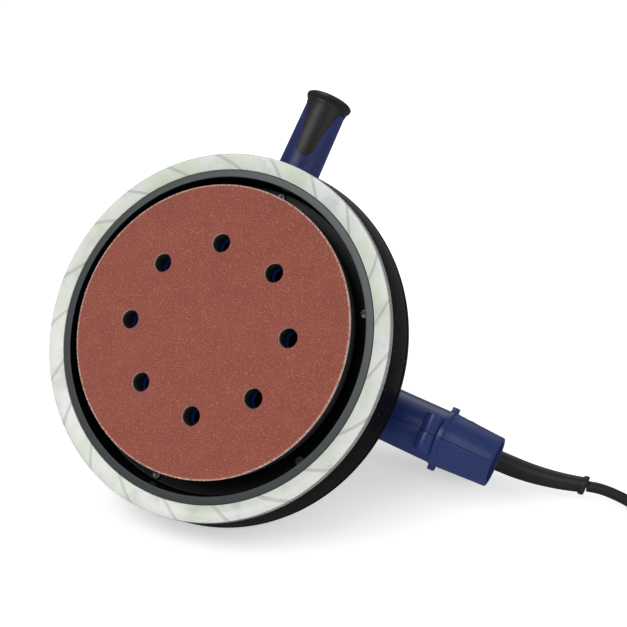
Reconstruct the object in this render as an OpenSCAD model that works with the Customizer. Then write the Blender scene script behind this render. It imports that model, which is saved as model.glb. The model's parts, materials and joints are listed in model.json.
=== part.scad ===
// Random-orbit sander with a drum-shaped dust shroud, a light ring round the pad, a side handle,
// a rear handle and a dust tube. It lies on a floor as it would be put down, with the pad on show.
// Every piece is modelled round the spindle: the origin is the centre of the abrasive face,
// +Z runs up the spindle into the motor, +X to the rear handle and -Y to the side handle.
// lay() then turns and lifts the whole tool into the lying pose, where the floor is z = 0.

/* [Pad] */
// Diameter of the abrasive disc and its pad
disc_d = 180; // [160:1:184]
// Thickness of the abrasive sheet
sheet_t = 1.2; // [0.6:0.1:1.6]
// Thickness of the hook layer
hook_t = 1.4; // [1:0.1:2]
// Thickness of the foam
foam_t = 10.4; // [8:0.2:10.4]
// Thickness of the backing plate
plate_t = 4; // [3:0.5:4]
// Diameter of each dust hole
dust_hole_d = 12; // [8:0.5:14]
// Circle that the dust holes sit on
dust_pcd = 106; // [90:1:120]
// Number of dust holes
dust_holes = 8; // [6:1:10]
// Turn of the first dust hole from the rear handle, in degrees
dust_phase = -16; // [-45:1:45]

/* [Orbit] */
// Diameter of the orbit that the pad's axis makes
orbit_d = 2.5; // [2:0.1:5]
// Diameter of the pad spindle in its bearing
pad_spindle_d = 10; // [8:0.5:10]
// Radial running clearance of the pad spindle
running_gap = 0.05; // [0.02:0.01:0.1]

/* [Shroud] */
// Largest outer radius of the drum
drum_r = 117; // [115:0.5:125]
// Height of the drum's widest ring above the abrasive face
drum_wide_z = 33; // [30:1:34]
// Radius of the drum's back shoulder
shoulder_r = 10; // [6:1:11]
// Height of the drum's back face
drum_back_z = 46.5; // [46.5:0.5:50]
// Wall of the drum
drum_wall = 3; // [2:0.25:3.5]
// Inner radius of the lip round the pad
lip_r = 98; // [97:0.5:99]
// Inner radius of the light ring's face
light_in_r = 102.9; // [102:0.1:104]
// Outer radius of the light ring's face
light_out_r = 112.7; // [111:0.1:113]
// Height of the light ring's outer edge
light_out_z = 3.3; // [2:0.1:5]
// Height of the light ring's inner edge
light_in_z = 5.5; // [4:0.1:6.5]
// Circle of the skirt screws
skirt_screw_r = 94; // [93:0.5:94.5]

/* [Motor] */
// Outer radius of the motor housing
motor_r = 45; // [43:0.5:48]
// Wall of the motor housing
motor_wall = 3; // [2:0.25:3]
// Height of the motor cap's outer face
motor_top_z = 146; // [146:0.5:150]
// Diameter of the motor shaft
shaft_d = 10; // [8:0.5:10]

/* [Rear handle] */
// Radius of the rear handle
handle_r = 16; // [15:0.5:18]
// Wall of the rear handle
handle_wall = 2.6; // [2:0.2:3]
// Distance of the rear handle's end from the spindle
handle_end_x = 164; // [155:1:180]
// Height of the rear handle's axis
handle_z = 125; // [122:0.5:126]
// Sideways place of the rear handle and the dust tube
tail_y = 1.8; // [0:0.1:3]

/* [Dust tube] */
// Radius of the dust tube
tube_r = 17.2; // [16:0.1:18]
// Bore of the dust tube
tube_bore_d = 27; // [24:0.5:28]
// Radius of the dust tube's open end
tube_end_r = 15.65; // [15:0.05:16.5]
// Distance of the open end from the spindle
tube_end_x = 178; // [165:1:190]
// Height of the dust tube's axis
tube_z = 70; // [68:0.5:70]
// Distance of the rib from the spindle
rib_x = 146; // [135:0.5:150]

/* [Side handle] */
// Radius of the side handle at its base
side_base_r = 15.6; // [14:0.1:16]
// Radius of the side handle at its neck
side_neck_r = 14.1; // [13:0.1:14.5]
// Radius of the side handle's flared end
side_flare_r = 16.3; // [15:0.1:18]
// Distance of the side handle's end from the spindle
side_end_y = 178; // [165:1:190]
// Offset of the side handle from the spindle
side_x = -21.2; // [-22:0.1:-18]
// Height of the side handle's axis
side_z = 70; // [68:0.5:74]
// Thread core diameter of the side handle's socket
socket_d = 8.5; // [6.8:0.1:8.5]

/* [Cord] */
// Diameter of the power cord
cord_d = 7; // [6:0.5:8]

/* [Hidden] */
$fn = 96;

// Clearances
fit = 0.1;
gap = 0.3;
eps = 0.01;

// Pad stack, from the abrasive face up
hook_z = sheet_t;
foam_z = hook_z + hook_t;
plate_z = foam_z + foam_t;
plate_top_z = plate_z + plate_t;
disc_r = disc_d / 2;
dust_r = dust_pcd / 2;
hook_edge = 0.6;
plate_r = disc_r - 3;
screw_well_r = 13;
pad_screw_r = 3;
pad_screw_head_r = 6.5;
pad_screw_head_t = 5;

// Orbit drive
orbit_e = orbit_d / 2;
spindle_flange_r = 15;
spindle_flange_t = 3;
spindle_base_z = plate_top_z + spindle_flange_t;
bearing_gap = 0.8;
orbit_bearing_z = spindle_base_z + bearing_gap;
orbit_bearing_h = 14;
orbit_bearing_r = 11;
hub_r = 17;
hub_z = orbit_bearing_z - 0.3;
hub_web_z = orbit_bearing_z + orbit_bearing_h + 0.6;
hub_web_t = 3;
hub_collar_r = 9;
weight_r = 36;
weight_z = 28;
weight_t = 7;
pad_spindle_r = pad_spindle_d / 2;
pad_spindle_top = orbit_bearing_z + orbit_bearing_h - 0.4;

// Shroud
shelf_z = 21;
shelf_t = 2.5;
shelf_r = 88;
skirt_wall = 3;
lip_t = 2.5;
skirt_out_r = lip_r + skirt_wall;
ring_seat_z = 8.6;
ring_skin = 2;
ring_wall_r = light_out_r + 0.7;
web_z = 13;
web_t = 3;
board_t = 1.6;
chip_count = 36;
skirt_screw_count = 6;
skirt_screw_head_r = 3.3;
skirt_screw_head_t = 1.8;
screw_pilot_r = 1.5;
screw_shank_r = 1.45;
boss_r = 4.6;
shroud_inner_z = drum_back_z - drum_wall;
centre_hole_r = 20;

// Motor
shaft_r = shaft_d / 2;
shaft_bottom_z = hub_web_z + fit;
base_flange_r = motor_r + 8;
base_flange_t = 4;
base_screw_r = motor_r + 4.2;
lower_bearing_z = 48.5;
lower_bearing_h = 8;
lower_bearing_r = 13;
bearing_plate_r = 30;
bearing_plate_t = 3;
plate_screw_r = 24;
cap_t = 6;
cap_round = 4;
cap_z = motor_top_z - cap_t;
upper_bearing_h = 7;
upper_bearing_r = 11;
upper_bearing_z = cap_z - upper_bearing_h;
shaft_top_z = cap_z - 0.6;
upper_shaft_r = 4;
fan_z = 59;
fan_h = 7;
fan_r = 36;
fan_blades = 12;
core_z = 75;
core_h = 34;
core_r = 21;
stator_in_r = core_r + 0.8;
stator_out_r = motor_r - motor_wall - 1.2;
coil_h = 7;
commutator_z = 119;
commutator_h = 10;
commutator_r = 12;
brush_z = commutator_z + 1.5;
brush_h = 7;
brush_gap = 0.4;
cap_screw_r = motor_r - 8;

// Rear handle
saddle_x = motor_r + 24;
saddle_w = 40;
saddle_h = 30;
handle_in_r = handle_r - handle_wall;
grip_t = 1;
handle_screw_x = [saddle_x + 7, handle_end_x - 20];
dial_x = motor_r + 13;
dial_r = 8;
rocker_x = motor_r + 13;
slide_x = saddle_x + 10;
slide_travel = 6;
grip_x = slide_x + 11 + slide_travel;
grip_len = handle_end_x - 14 - grip_x;

// Cord boot: stations along the boot, each [x, y, radius]
boot_root = [handle_end_x - 6, tail_y];
boot_a = [handle_end_x + 11, tail_y];
boot_b = [handle_end_x + 37, tail_y - 3.3];
boot_c = [handle_end_x + 66, tail_y - 9];
boot_root_r = 7.2;
boot_a_r = 6.9;
boot_b_r = 6.05;
boot_c_r = 5.2;
boot_bead_r = 6.3;
boot_flange_r = boot_root_r + 2.6;

// Dust duct
elbow_bend = tube_z - drum_back_z;
elbow_x = motor_r + 27;
elbow_r = 16.5;
elbow_bore_r = tube_bore_d / 2;
elbow_flange_r = elbow_r + 4.5;
elbow_flange_t = 2.5;
tube_start_x = elbow_x + elbow_bend;
tube_bore_r = tube_bore_d / 2;
tube_mid_r = tube_r + 0.3;
rib_t = 3.5;
rib_r = tube_r + 2.8;
boss_x = rib_x - rib_t - 5.5;
boss_len = 24;
boss_tube_r = 5.4;
boss_z = tube_z - tube_r + 0.6;

// Side handle
side_boss_r = 14;
side_boss_y = motor_r + 13;
side_base_y = side_boss_y + 0.2;
side_grip_y = side_end_y - 8;
stud_r = 5;
socket_len = 18;
stud_in = 14;
stud_out = 30;

// Pose on the floor
tilt_x = -124.491;
tilt_y = 10.339;
tilt_z = -29.426;
row_x = [
    cos(tilt_y) * cos(tilt_z),
    sin(tilt_x) * sin(tilt_y) * cos(tilt_z) - cos(tilt_x) * sin(tilt_z),
    cos(tilt_x) * sin(tilt_y) * cos(tilt_z) + sin(tilt_x) * sin(tilt_z)
];
row_y = [
    cos(tilt_y) * sin(tilt_z),
    sin(tilt_x) * sin(tilt_y) * sin(tilt_z) + cos(tilt_x) * cos(tilt_z),
    cos(tilt_x) * sin(tilt_y) * sin(tilt_z) - sin(tilt_x) * cos(tilt_z)
];
row_z = [-sin(tilt_y), sin(tilt_x) * cos(tilt_y), cos(tilt_x) * cos(tilt_y)];
// How far a round edge of radius r and edge rounding s reaches to either side of its centre
function reach(axis, r, s) = sqrt(1 - axis[2] * axis[2]) * (r - s) + s;
shoulder_at = [0, 0, drum_wide_z];
ring_edge_at = [0, 0, light_out_z + 0.9];
boot_tip = [boot_c[0], boot_c[1], handle_z];
side_tip = [side_x, -side_end_y, side_z];
low_x = row_x * ring_edge_at - reach(row_x, light_out_r, 0);
high_x = row_x * boot_tip + boot_bead_r * sqrt(1 - row_x[0] * row_x[0]);
low_y = row_y * ring_edge_at - reach(row_y, light_out_r, 0);
high_y = row_y * side_tip + side_flare_r * sqrt(1 - row_y[1] * row_y[1]);
head = [
    -(low_x + high_x) / 2,
    -(low_y + high_y) / 2,
    reach(row_z, drum_r, shoulder_r) - row_z * shoulder_at
];
function laid(p) = head + [row_x * p, row_y * p, row_z * p];

// Cord route on the floor, by hand: from the boot's tip to the coil, and from the coil to the plug
cord_r = cord_d / 2;
cord_start = laid(boot_tip);
cord_points = [
    cord_start,
    [178.7, -57.2, 12],
    [187.7, -61.2, 10.3],
    [197.7, -66.2, 7],
    [207.7, -73, 4.3],
    [217.7, -81.5, cord_r]
];
coil_centre = [268.7, -66];
coil_turn_r = 40;
coil_rows = 4;
plug_points = [
    [315.7, -64, 24.5],
    [315.9, -54, 23.2],
    [315.9, -44, 20],
    [315.8, -34, 15.8],
    [315.7, -24, 12],
    [313.6, -13.3, 9.6],
    [307.5, -4.2, 8.4],
    [298.4, 1.9, 8],
    [287.7, 4, 8]
];
plug_at = [287.7, 4, 8];
plug_turn = 180;
plug_h = 15;
plug_len = 38;
plug_half_w = 17.5;
pin_pitch = 19;
pin_r = 2.4;
pin_len = 19;

// ---------------------------------------------------------------- helpers

// Turns and lifts the tool from the spindle's frame to the floor
module lay() {
    translate(head) rotate([tilt_x, tilt_y, tilt_z]) children();
}

// A cylinder from z0 to z1
module post(r, z0, z1) {
    translate([0, 0, z0]) cylinder(r = r, h = z1 - z0);
}

// A washer-shaped ring from z0 to z1
module ring(r_out, r_in, z0, z1) {
    difference() {
        post(r_out, z0, z1);
        post(r_in, z0 - 1, z1 + 1);
    }
}

// Copies round the spindle, evenly spaced from angle a0
module around(count, r, a0 = 0) {
    for (i = [0:count - 1]) {
        rotate([0, 0, a0 + i * 360 / count]) translate([r, 0, 0]) children();
    }
}

// Puts a piece on the pad's own axis
module on_pad() {
    translate([0, -orbit_e, 0]) children();
}

// Turns a piece drawn along Z to run along +X at the given place
module along_x(x, y, z) {
    translate([x, y, z]) rotate([0, 90, 0]) children();
}

// Turns a piece drawn along Z to run along -Y at the given place
module along_side(x, y, z) {
    translate([x, y, z]) rotate([90, 0, 0]) children();
}

// A pan-head screw whose head stands at z = 0 and whose shank runs up +Z
module pan_screw(head_r, head_t, shank_r, shank_len) {
    difference() {
        union() {
            translate([0, 0, -head_t]) cylinder(r1 = head_r * 0.8, r2 = head_r, h = head_t);
            post(shank_r, -eps, shank_len);
        }
        translate([-head_r * 0.6, -0.3, -head_t - 1]) cube([head_r * 1.2, 0.6, 1.9]);
        translate([-0.3, -head_r * 0.6, -head_t - 1]) cube([0.6, head_r * 1.2, 1.9]);
    }
}

// A deep-groove ball bearing, closed by its shields
module bearing(r_out, r_in, h) {
    groove = (r_out - r_in) * 0.28;
    difference() {
        ring(r_out, r_in, 0, h);
        ring(r_out - groove, r_in + groove, -1, 0.5);
        ring(r_out - groove, r_in + groove, h - 0.5, h + 1);
    }
}

// Holes for the dust, through everything in the pad stack
module dust_bores(z0, z1) {
    around(dust_holes, dust_r, dust_phase) post(dust_hole_d / 2, z0, z1);
}

// A tube swept along points, as rings of flat-sided sections, with one radius for each point
function unit(v) = v / norm(v);
function heading(pts, i) =
    unit(pts[min(i + 1, len(pts) - 1)] - pts[max(i - 1, 0)]);
function side_of(d) = unit(cross(abs(d[2]) > 0.9 ? [1, 0, 0] : [0, 0, 1], d));
function ring_at(p, d, r, sides) = [
    for (k = [0:sides - 1])
        p + r * (cos(360 * k / sides) * side_of(d) + sin(360 * k / sides) * cross(d, side_of(d)))
];
function mid_curve(a, b, c, d, t) =
    0.5 * (2 * b + (c - a) * t + (2 * a - 5 * b + 4 * c - d) * t * t
        + (3 * b - a - 3 * c + d) * t * t * t);
function smooth(pts, steps) = [
    for (i = [0:len(pts) - 2])
        for (j = [0:steps - 1])
            mid_curve(
                pts[max(i - 1, 0)], pts[i], pts[i + 1], pts[min(i + 2, len(pts) - 1)], j / steps
            ),
    pts[len(pts) - 1]
];
module tube(pts, radii, sides) {
    n = len(pts);
    rings = [for (i = [0:n - 1]) each ring_at(pts[i], heading(pts, i), radii[i], sides)];
    walls = [
        for (i = [0:n - 2])
            for (k = [0:sides - 1])
                [
                    i * sides + k, i * sides + (k + 1) % sides,
                    (i + 1) * sides + (k + 1) % sides, (i + 1) * sides + k
                ]
    ];
    first = [for (k = [0:sides - 1]) sides - 1 - k];
    last = [for (k = [0:sides - 1]) (n - 1) * sides + k];
    polyhedron(points = rings, faces = concat([first], walls, [last]), convexity = 6);
}

// ---------------------------------------------------------------- pad body

module abrasive_disc() {
    color("#9a5248") lay() on_pad() difference() {
        post(disc_r, 0, hook_z);
        dust_bores(-1, hook_z + 1);
    }
}

module hook_layer() {
    color("#3a3a3c") lay() on_pad() difference() {
        post(disc_r - hook_edge, hook_z, foam_z);
        dust_bores(hook_z - 1, foam_z + 1);
        post(screw_well_r, hook_z - 1, foam_z + 1);
    }
}

module foam_pad() {
    color("#17171a") lay() on_pad() difference() {
        post(disc_r - hook_edge, foam_z, plate_z);
        dust_bores(foam_z - 1, plate_z + 1);
        post(screw_well_r, foam_z - 1, plate_z + 1);
    }
}

module pad_plate() {
    color("#1d3f8f") lay() on_pad() difference() {
        union() {
            post(plate_r, plate_z, plate_top_z);
        }
        dust_bores(plate_z - 1, plate_top_z + 1);
        post(pad_screw_r + 0.2, plate_z - 1, plate_top_z + 1);
    }
}

module pad_spindle() {
    color("silver") lay() on_pad() difference() {
        union() {
            post(spindle_flange_r, plate_top_z, spindle_base_z);
            post(pad_spindle_r + 1, spindle_base_z - eps, orbit_bearing_z - 0.2);
            post(pad_spindle_r - running_gap, spindle_base_z - eps, pad_spindle_top);
        }
        post(pad_screw_r + fit, plate_top_z - 1, pad_spindle_top - 4);
    }
}

module pad_screw() {
    color("dimgray") lay() on_pad() difference() {
        union() {
            post(pad_screw_head_r, plate_z - pad_screw_head_t, plate_z);
            post(pad_screw_r, plate_z - eps, pad_spindle_top - 4.5);
        }
        translate([0, 0, plate_z - pad_screw_head_t - 1]) cylinder(r = 2.9, h = 4, $fn = 6);
    }
}

// ---------------------------------------------------------------- spindle body

module orbit_bearing() {
    color("lightgray") lay() on_pad() translate([0, 0, orbit_bearing_z]) {
        bearing(orbit_bearing_r, pad_spindle_r, orbit_bearing_h);
    }
}

module eccentric_hub() {
    color("gray") lay() difference() {
        union() {
            post(hub_r, hub_z, hub_web_z + hub_web_t);
            post(hub_collar_r, hub_web_z, drum_back_z);
        }
        on_pad() post(orbit_bearing_r + 0.02, hub_z - 1, orbit_bearing_z + orbit_bearing_h);
        on_pad() post(orbit_bearing_r - 2, hub_z, hub_web_z);
        post(shaft_r + 0.02, hub_web_z - 1, drum_back_z + 1);
    }
}

module counterweight() {
    color("darkgray") lay() difference() {
        post(weight_r, weight_z, weight_z + weight_t);
        post(hub_r + 0.02, weight_z - 1, weight_z + weight_t + 1);
        translate([-weight_r - 1, -weight_r - 1, weight_z - 1]) {
            cube([2 * weight_r + 2, weight_r + 1, weight_t + 2]);
        }
    }
}

module armature_shaft() {
    color("silver") lay() {
        post(shaft_r, shaft_bottom_z, lower_bearing_z + lower_bearing_h + 1);
        post(shaft_r - 0.5, lower_bearing_z + lower_bearing_h + 1 - eps, upper_bearing_z - 1);
        post(upper_shaft_r, upper_bearing_z - 1 - eps, shaft_top_z);
    }
}

module armature_core() {
    color("dimgray") lay() difference() {
        post(core_r, core_z, core_z + core_h);
        post(shaft_r - 0.5 + 0.02, core_z - 1, core_z + core_h + 1);
        around(12, core_r, 15) translate([-3, -1, core_z - 1]) cube([6, 2, core_h + 2]);
    }
}

module armature_windings() {
    color("#b5651d") lay() {
        ring(core_r - 2.5, shaft_r + 1, core_z - coil_h + 1, core_z);
        ring(core_r - 2.5, shaft_r + 1, core_z + core_h, core_z + core_h + coil_h - 1);
    }
}

module commutator() {
    color("#c8803c") lay() difference() {
        ring(commutator_r, shaft_r - 0.5 + 0.02, commutator_z, commutator_z + commutator_h);
        around(16, commutator_r) translate([-0.8, -0.3, commutator_z - 1]) {
            cube([2, 0.6, commutator_h + 2]);
        }
    }
}

module cooling_fan() {
    color("#222226") lay() difference() {
        union() {
            post(8.5, fan_z - 1, fan_z + fan_h);
            post(fan_r, fan_z, fan_z + 1.6);
            around(fan_blades, 0) translate([8, 0, fan_z]) rotate([0, 0, 18]) {
                translate([0, -0.8, 0]) cube([fan_r - 11, 1.6, fan_h]);
            }
        }
        post(shaft_r - 0.5 + 0.02, fan_z - 2, fan_z + fan_h + 1);
    }
}

// ---------------------------------------------------------------- shroud

// Outline of the drum's outer skin, as radius and height, set in by t
module drum_outline(t) {
    s = shoulder_r - t;
    polygon(concat(
        [[ring_wall_r - t, ring_seat_z], [drum_r - t, drum_wide_z]],
        [for (a = [0:10:90]) [drum_r - shoulder_r + s * cos(a), drum_wide_z + s * sin(a)]],
        [[drum_r - shoulder_r - 8, drum_back_z - t], [0, drum_back_z - t], [0, ring_seat_z]]
    ));
}

module drum_shell() {
    color("#101012") lay() difference() {
        union() {
            difference() {
                rotate_extrude($fn = 128) drum_outline(0);
                rotate_extrude($fn = 128) drum_outline(drum_wall);
                post(drum_r, ring_seat_z - 1, ring_seat_z);
            }
            ring(ring_wall_r - 1, skirt_out_r + fit, web_z, web_z + web_t);
            around(skirt_screw_count, skirt_screw_r, 30) {
                post(boss_r, shelf_z + shelf_t, shroud_inner_z + eps);
            }
        }
        around(skirt_screw_count, skirt_screw_r, 30) {
            post(screw_pilot_r, shelf_z - 1, shelf_z + shelf_t + 12);
        }
        post(centre_hole_r, shroud_inner_z - 1, drum_back_z + 1);
        translate([elbow_x, tail_y, 0]) post(elbow_bore_r, shroud_inner_z - 1, drum_back_z + 1);
        around(4, base_screw_r, 45) post(screw_pilot_r, shroud_inner_z - 1, drum_back_z + 1);
        around(4, plate_screw_r, 0) post(screw_pilot_r, shroud_inner_z - 1, drum_back_z + 1);
        elbow_screw_places() post(screw_pilot_r, shroud_inner_z - 1, drum_back_z + 1);
    }
}

module skirt_ring() {
    color("#2b2e30") lay() difference() {
        rotate_extrude($fn = 128) polygon([
            [lip_r, light_in_z + 0.4], [lip_r + 0.4, light_in_z], [light_in_r - gap, light_in_z],
            [light_in_r - gap, light_in_z + lip_t], [skirt_out_r, light_in_z + lip_t],
            [skirt_out_r, shelf_z + shelf_t], [shelf_r, shelf_z + shelf_t],
            [shelf_r, shelf_z], [lip_r, shelf_z]
        ]);
        around(skirt_screw_count, skirt_screw_r, 30) {
            post(screw_pilot_r + 0.2, shelf_z - 1, shelf_z + shelf_t + 1);
        }
    }
}

module skirt_screws() {
    color("#303236") lay() around(skirt_screw_count, skirt_screw_r, 30) {
        translate([0, 0, shelf_z]) {
            pan_screw(skirt_screw_head_r, skirt_screw_head_t, screw_shank_r, shelf_t + 10);
        }
    }
}

module light_ring() {
    color("#d9ddd6") lay() rotate_extrude($fn = 128) polygon([
        [light_in_r, light_in_z], [light_out_r - 1, light_out_z + 0.2],
        [light_out_r, light_out_z + 0.9], [ring_wall_r, ring_seat_z],
        [ring_wall_r - ring_skin, ring_seat_z],
        [light_out_r - ring_skin, light_out_z + 0.8 + ring_skin],
        [light_in_r + ring_skin, light_in_z + ring_skin],
        [light_in_r + ring_skin, web_z - board_t - fit], [light_in_r, web_z - board_t - fit]
    ]);
}

module led_board() {
    color("#e8e8e0") lay() ring(ring_wall_r - drum_wall - gap, light_in_r, web_z - board_t, web_z);
}

module led_chips() {
    color("#f5e08a") lay() around(chip_count, (light_in_r + light_out_r) / 2) {
        translate([-1.4, -1.75, web_z - board_t - 1]) cube([2.8, 3.5, 1]);
    }
}

// ---------------------------------------------------------------- motor

module bearing_plate() {
    color("silver") lay() difference() {
        union() {
            post(bearing_plate_r, drum_back_z, drum_back_z + bearing_plate_t);
            post(lower_bearing_r + 3, drum_back_z, lower_bearing_z + lower_bearing_h);
        }
        post(lower_bearing_r + 0.02, lower_bearing_z, lower_bearing_z + lower_bearing_h + 1);
        post(lower_bearing_r - 2, drum_back_z - 1, lower_bearing_z + 1);
        around(4, plate_screw_r, 0) post(screw_pilot_r + 0.2, drum_back_z - 1, drum_back_z + 5);
    }
}

module plate_screws() {
    color("dimgray") lay() around(4, plate_screw_r, 0) {
        translate([0, 0, drum_back_z + bearing_plate_t]) mirror([0, 0, 1]) {
            pan_screw(3.2, 1.8, screw_shank_r, bearing_plate_t + drum_wall - 0.4);
        }
    }
}

module lower_bearing() {
    color("lightgray") lay() translate([0, 0, lower_bearing_z]) {
        bearing(lower_bearing_r, shaft_r + 0.02, lower_bearing_h);
    }
}

module upper_bearing() {
    color("lightgray") lay() translate([0, 0, upper_bearing_z]) {
        bearing(upper_bearing_r, upper_shaft_r + 0.02, upper_bearing_h);
    }
}

// Cooling slots round the housing, n of them, from angle a0
module housing_slots(z0, h, a0, n) {
    for (i = [0:n - 1]) {
        rotate([0, 0, a0 + i * 11]) translate([motor_r - 8, -1.5, z0]) cube([16, 3, h]);
    }
}

module motor_housing() {
    color("#1b2a5c") lay() difference() {
        union() {
            post(motor_r, drum_back_z, cap_z);
            post(base_flange_r, drum_back_z, drum_back_z + base_flange_t);
            for (side = [-1, 1]) {
                translate([side_x, 0, side_z]) rotate([side * 90, 0, 0]) {
                    cylinder(r = side_boss_r, h = side_boss_y);
                }
            }
            around(4, cap_screw_r + 0.5, 45) post(5, cap_z - 16, cap_z);
        }
        difference() {
            post(motor_r - motor_wall, drum_back_z - 1, cap_z + 1);
            around(4, cap_screw_r + 0.5, 45) post(5, cap_z - 16, cap_z + 2);
        }
        around(4, base_screw_r, 45) {
            post(screw_pilot_r + 0.2, drum_back_z - 1, drum_back_z + base_flange_t + 1);
        }
        around(4, cap_screw_r + 0.5, 45) post(screw_pilot_r, cap_z - 12, cap_z + 1);
        for (side = [-1, 1]) {
            translate([side_x, 0, side_z]) rotate([side * 90, 0, 0]) {
                translate([0, 0, side_boss_y - socket_len]) cylinder(d = socket_d, h = socket_len + 1);
            }
        }
        housing_slots(112, 18, 150, 6);
        housing_slots(54, 12, 65, 3);
        housing_slots(54, 12, -90, 3);
        along_x(motor_r - 8, tail_y, handle_z) cylinder(r = 8, h = 16);
    }
}

module housing_screws() {
    color("dimgray") lay() around(4, base_screw_r, 45) {
        translate([0, 0, drum_back_z + base_flange_t]) mirror([0, 0, 1]) {
            pan_screw(3.4, 2, screw_shank_r, base_flange_t + drum_wall - 0.4);
        }
    }
}

module motor_cap() {
    color("#16203f") lay() difference() {
        union() {
            rotate_extrude() polygon(concat(
                [[0, cap_z], [motor_r, cap_z]],
                [for (a = [0:15:90]) [
                    motor_r - cap_round + cap_round * cos(a),
                    motor_top_z - cap_round + cap_round * sin(a)
                ]],
                [[0, motor_top_z]]
            ));
            post(upper_bearing_r + 2.6, upper_bearing_z, cap_z + eps);
        }
        post(upper_bearing_r + 0.02, upper_bearing_z - 1, cap_z);
        around(4, cap_screw_r + 0.5, 45) {
            post(screw_pilot_r + 0.2, cap_z - 1, motor_top_z + 1);
            post(3.6, motor_top_z - 2.4, motor_top_z + 1);
        }
        for (y = [-20:5:20]) {
            translate([-14, y - 1.1, cap_z + 3]) cube([28, 2.2, cap_t]);
        }
    }
}

module cap_screws() {
    color("dimgray") lay() around(4, cap_screw_r + 0.5, 45) {
        translate([0, 0, motor_top_z - 2.4]) mirror([0, 0, 1]) {
            pan_screw(3.4, 2, screw_shank_r, 13);
        }
    }
}

module stator_core() {
    color("slategray") lay() difference() {
        ring(stator_out_r, stator_in_r, core_z, core_z + core_h);
        for (a = [0, 180]) {
            rotate([0, 0, a]) translate([stator_in_r - 2, -7, core_z - 1]) cube([8, 14, core_h + 2]);
        }
    }
}

module field_coils() {
    color("#b5651d") lay() {
        ring(stator_out_r - 3, stator_in_r + 1.5, core_z - coil_h, core_z);
        ring(stator_out_r - 3, stator_in_r + 1.5, core_z + core_h, core_z + core_h + coil_h);
    }
}

module brush_holders() {
    color("goldenrod") lay() for (side = [-1, 1]) {
        rotate([0, 0, side * 90]) difference() {
            translate([commutator_r + 1.5, -5.2, brush_z - 1.6]) cube([26, 10.4, brush_h + 3.2]);
            translate([commutator_r, -3.6, brush_z]) cube([24, 7.2, brush_h]);
        }
    }
}

module carbon_brushes() {
    color("#2a2a2a") lay() for (side = [-1, 1]) {
        rotate([0, 0, side * 90]) {
            translate([commutator_r + brush_gap, -3.4, brush_z + fit]) {
                cube([13, 6.8, brush_h - 2 * fit]);
            }
        }
    }
}

// ---------------------------------------------------------------- rear handle

// Solid form of the rear handle, before it is hollowed and split
module handle_form() {
    along_x(motor_r - 4, tail_y, handle_z) cylinder(r = handle_r, h = handle_end_x - motor_r + 4);
    translate([motor_r - 6, tail_y - saddle_w / 2, handle_z - saddle_h / 2]) {
        cube([saddle_x - motor_r + 6, saddle_w, saddle_h]);
    }
}

// Space inside the rear handle
module handle_hollow() {
    along_x(motor_r - 9, tail_y, handle_z) {
        cylinder(r = handle_in_r, h = handle_end_x - handle_wall - motor_r + 9);
    }
    translate([motor_r - 9, tail_y - saddle_w / 2 + handle_wall, handle_z - saddle_h / 2 + handle_wall]) {
        cube([saddle_x - motor_r + 9 - handle_wall, saddle_w - 2 * handle_wall,
            saddle_h - 2 * handle_wall]);
    }
}

// One half of the rear handle: side is 1 for +Y and -1 for -Y
module handle_half(side) {
    difference() {
        intersection() {
            handle_form();
            translate([0, side > 0 ? tail_y : tail_y - 60, handle_z - 40]) cube([300, 60, 80]);
        }
        handle_hollow();
        post(motor_r + gap, drum_back_z, motor_top_z + 5);
        // bore for the cord boot
        along_x(handle_end_x - 4, tail_y, handle_z) cylinder(r = boot_root_r + fit, h = 5);
        // groove for the boot's flange
        along_x(handle_end_x - 8, tail_y, handle_z) cylinder(r = boot_root_r + 3, h = 3.5);
        // screw bores
        for (x = handle_screw_x) {
            translate([x, tail_y + 30, handle_z + handle_in_r - 3.2]) {
                rotate([90, 0, 0]) cylinder(r = screw_pilot_r + 0.05, h = 60);
            }
        }
    }
}

// Screw bosses that stand inside one half of the handle
module handle_bosses(side) {
    for (x = handle_screw_x) {
        difference() {
            intersection() {
                translate([x, tail_y, handle_z + handle_in_r - 3.2]) {
                    rotate([-side * 90, 0, 0]) cylinder(r = 3.6, h = handle_in_r);
                }
                along_x(x - 6, tail_y, handle_z) cylinder(r = handle_in_r + 1, h = 12);
            }
            translate([x, tail_y + 30, handle_z + handle_in_r - 3.2]) {
                rotate([90, 0, 0]) cylinder(r = screw_pilot_r + 0.05, h = 60);
            }
        }
    }
}

module handle_left() {
    color("#1b2a5c") lay() difference() {
        union() {
            handle_half(1);
            handle_bosses(1);
        }
        // window for the light switch
        translate([rocker_x - 6.2, tail_y + saddle_w / 2 - 4, handle_z - 4.2]) cube([12.4, 5, 8.4]);
    }
}

module handle_right() {
    color("#1b2a5c") lay() difference() {
        union() {
            handle_half(-1);
            handle_bosses(-1);
        }
        // bore for the speed dial
        along_side(dial_x, tail_y - saddle_w / 2 + 4, handle_z) cylinder(r = dial_r + gap, h = 5);
        // window for the slide switch
        translate([slide_x - 6, tail_y - handle_r - 1, handle_z - 3.2]) {
            cube([12 + slide_travel, 6, 6.4]);
        }
    }
}

module handle_grip() {
    color("#1c1c1f") lay() along_x(grip_x, tail_y, handle_z) difference() {
        cylinder(r = handle_r + grip_t, h = grip_len);
        translate([0, 0, -1]) cylinder(r = handle_r + 0.02, h = grip_len + 2);
    }
}

module handle_screws() {
    color("dimgray") lay() for (x = handle_screw_x) {
        translate([x, tail_y - 4, handle_z + handle_in_r - 3.2]) {
            rotate([-90, 0, 0]) cylinder(r = screw_shank_r, h = 11);
        }
    }
}

module switch_module() {
    color("#26262a") lay() translate([slide_x - 8, tail_y - 6.5, handle_z - 6]) cube([26, 11, 11]);
}

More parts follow.
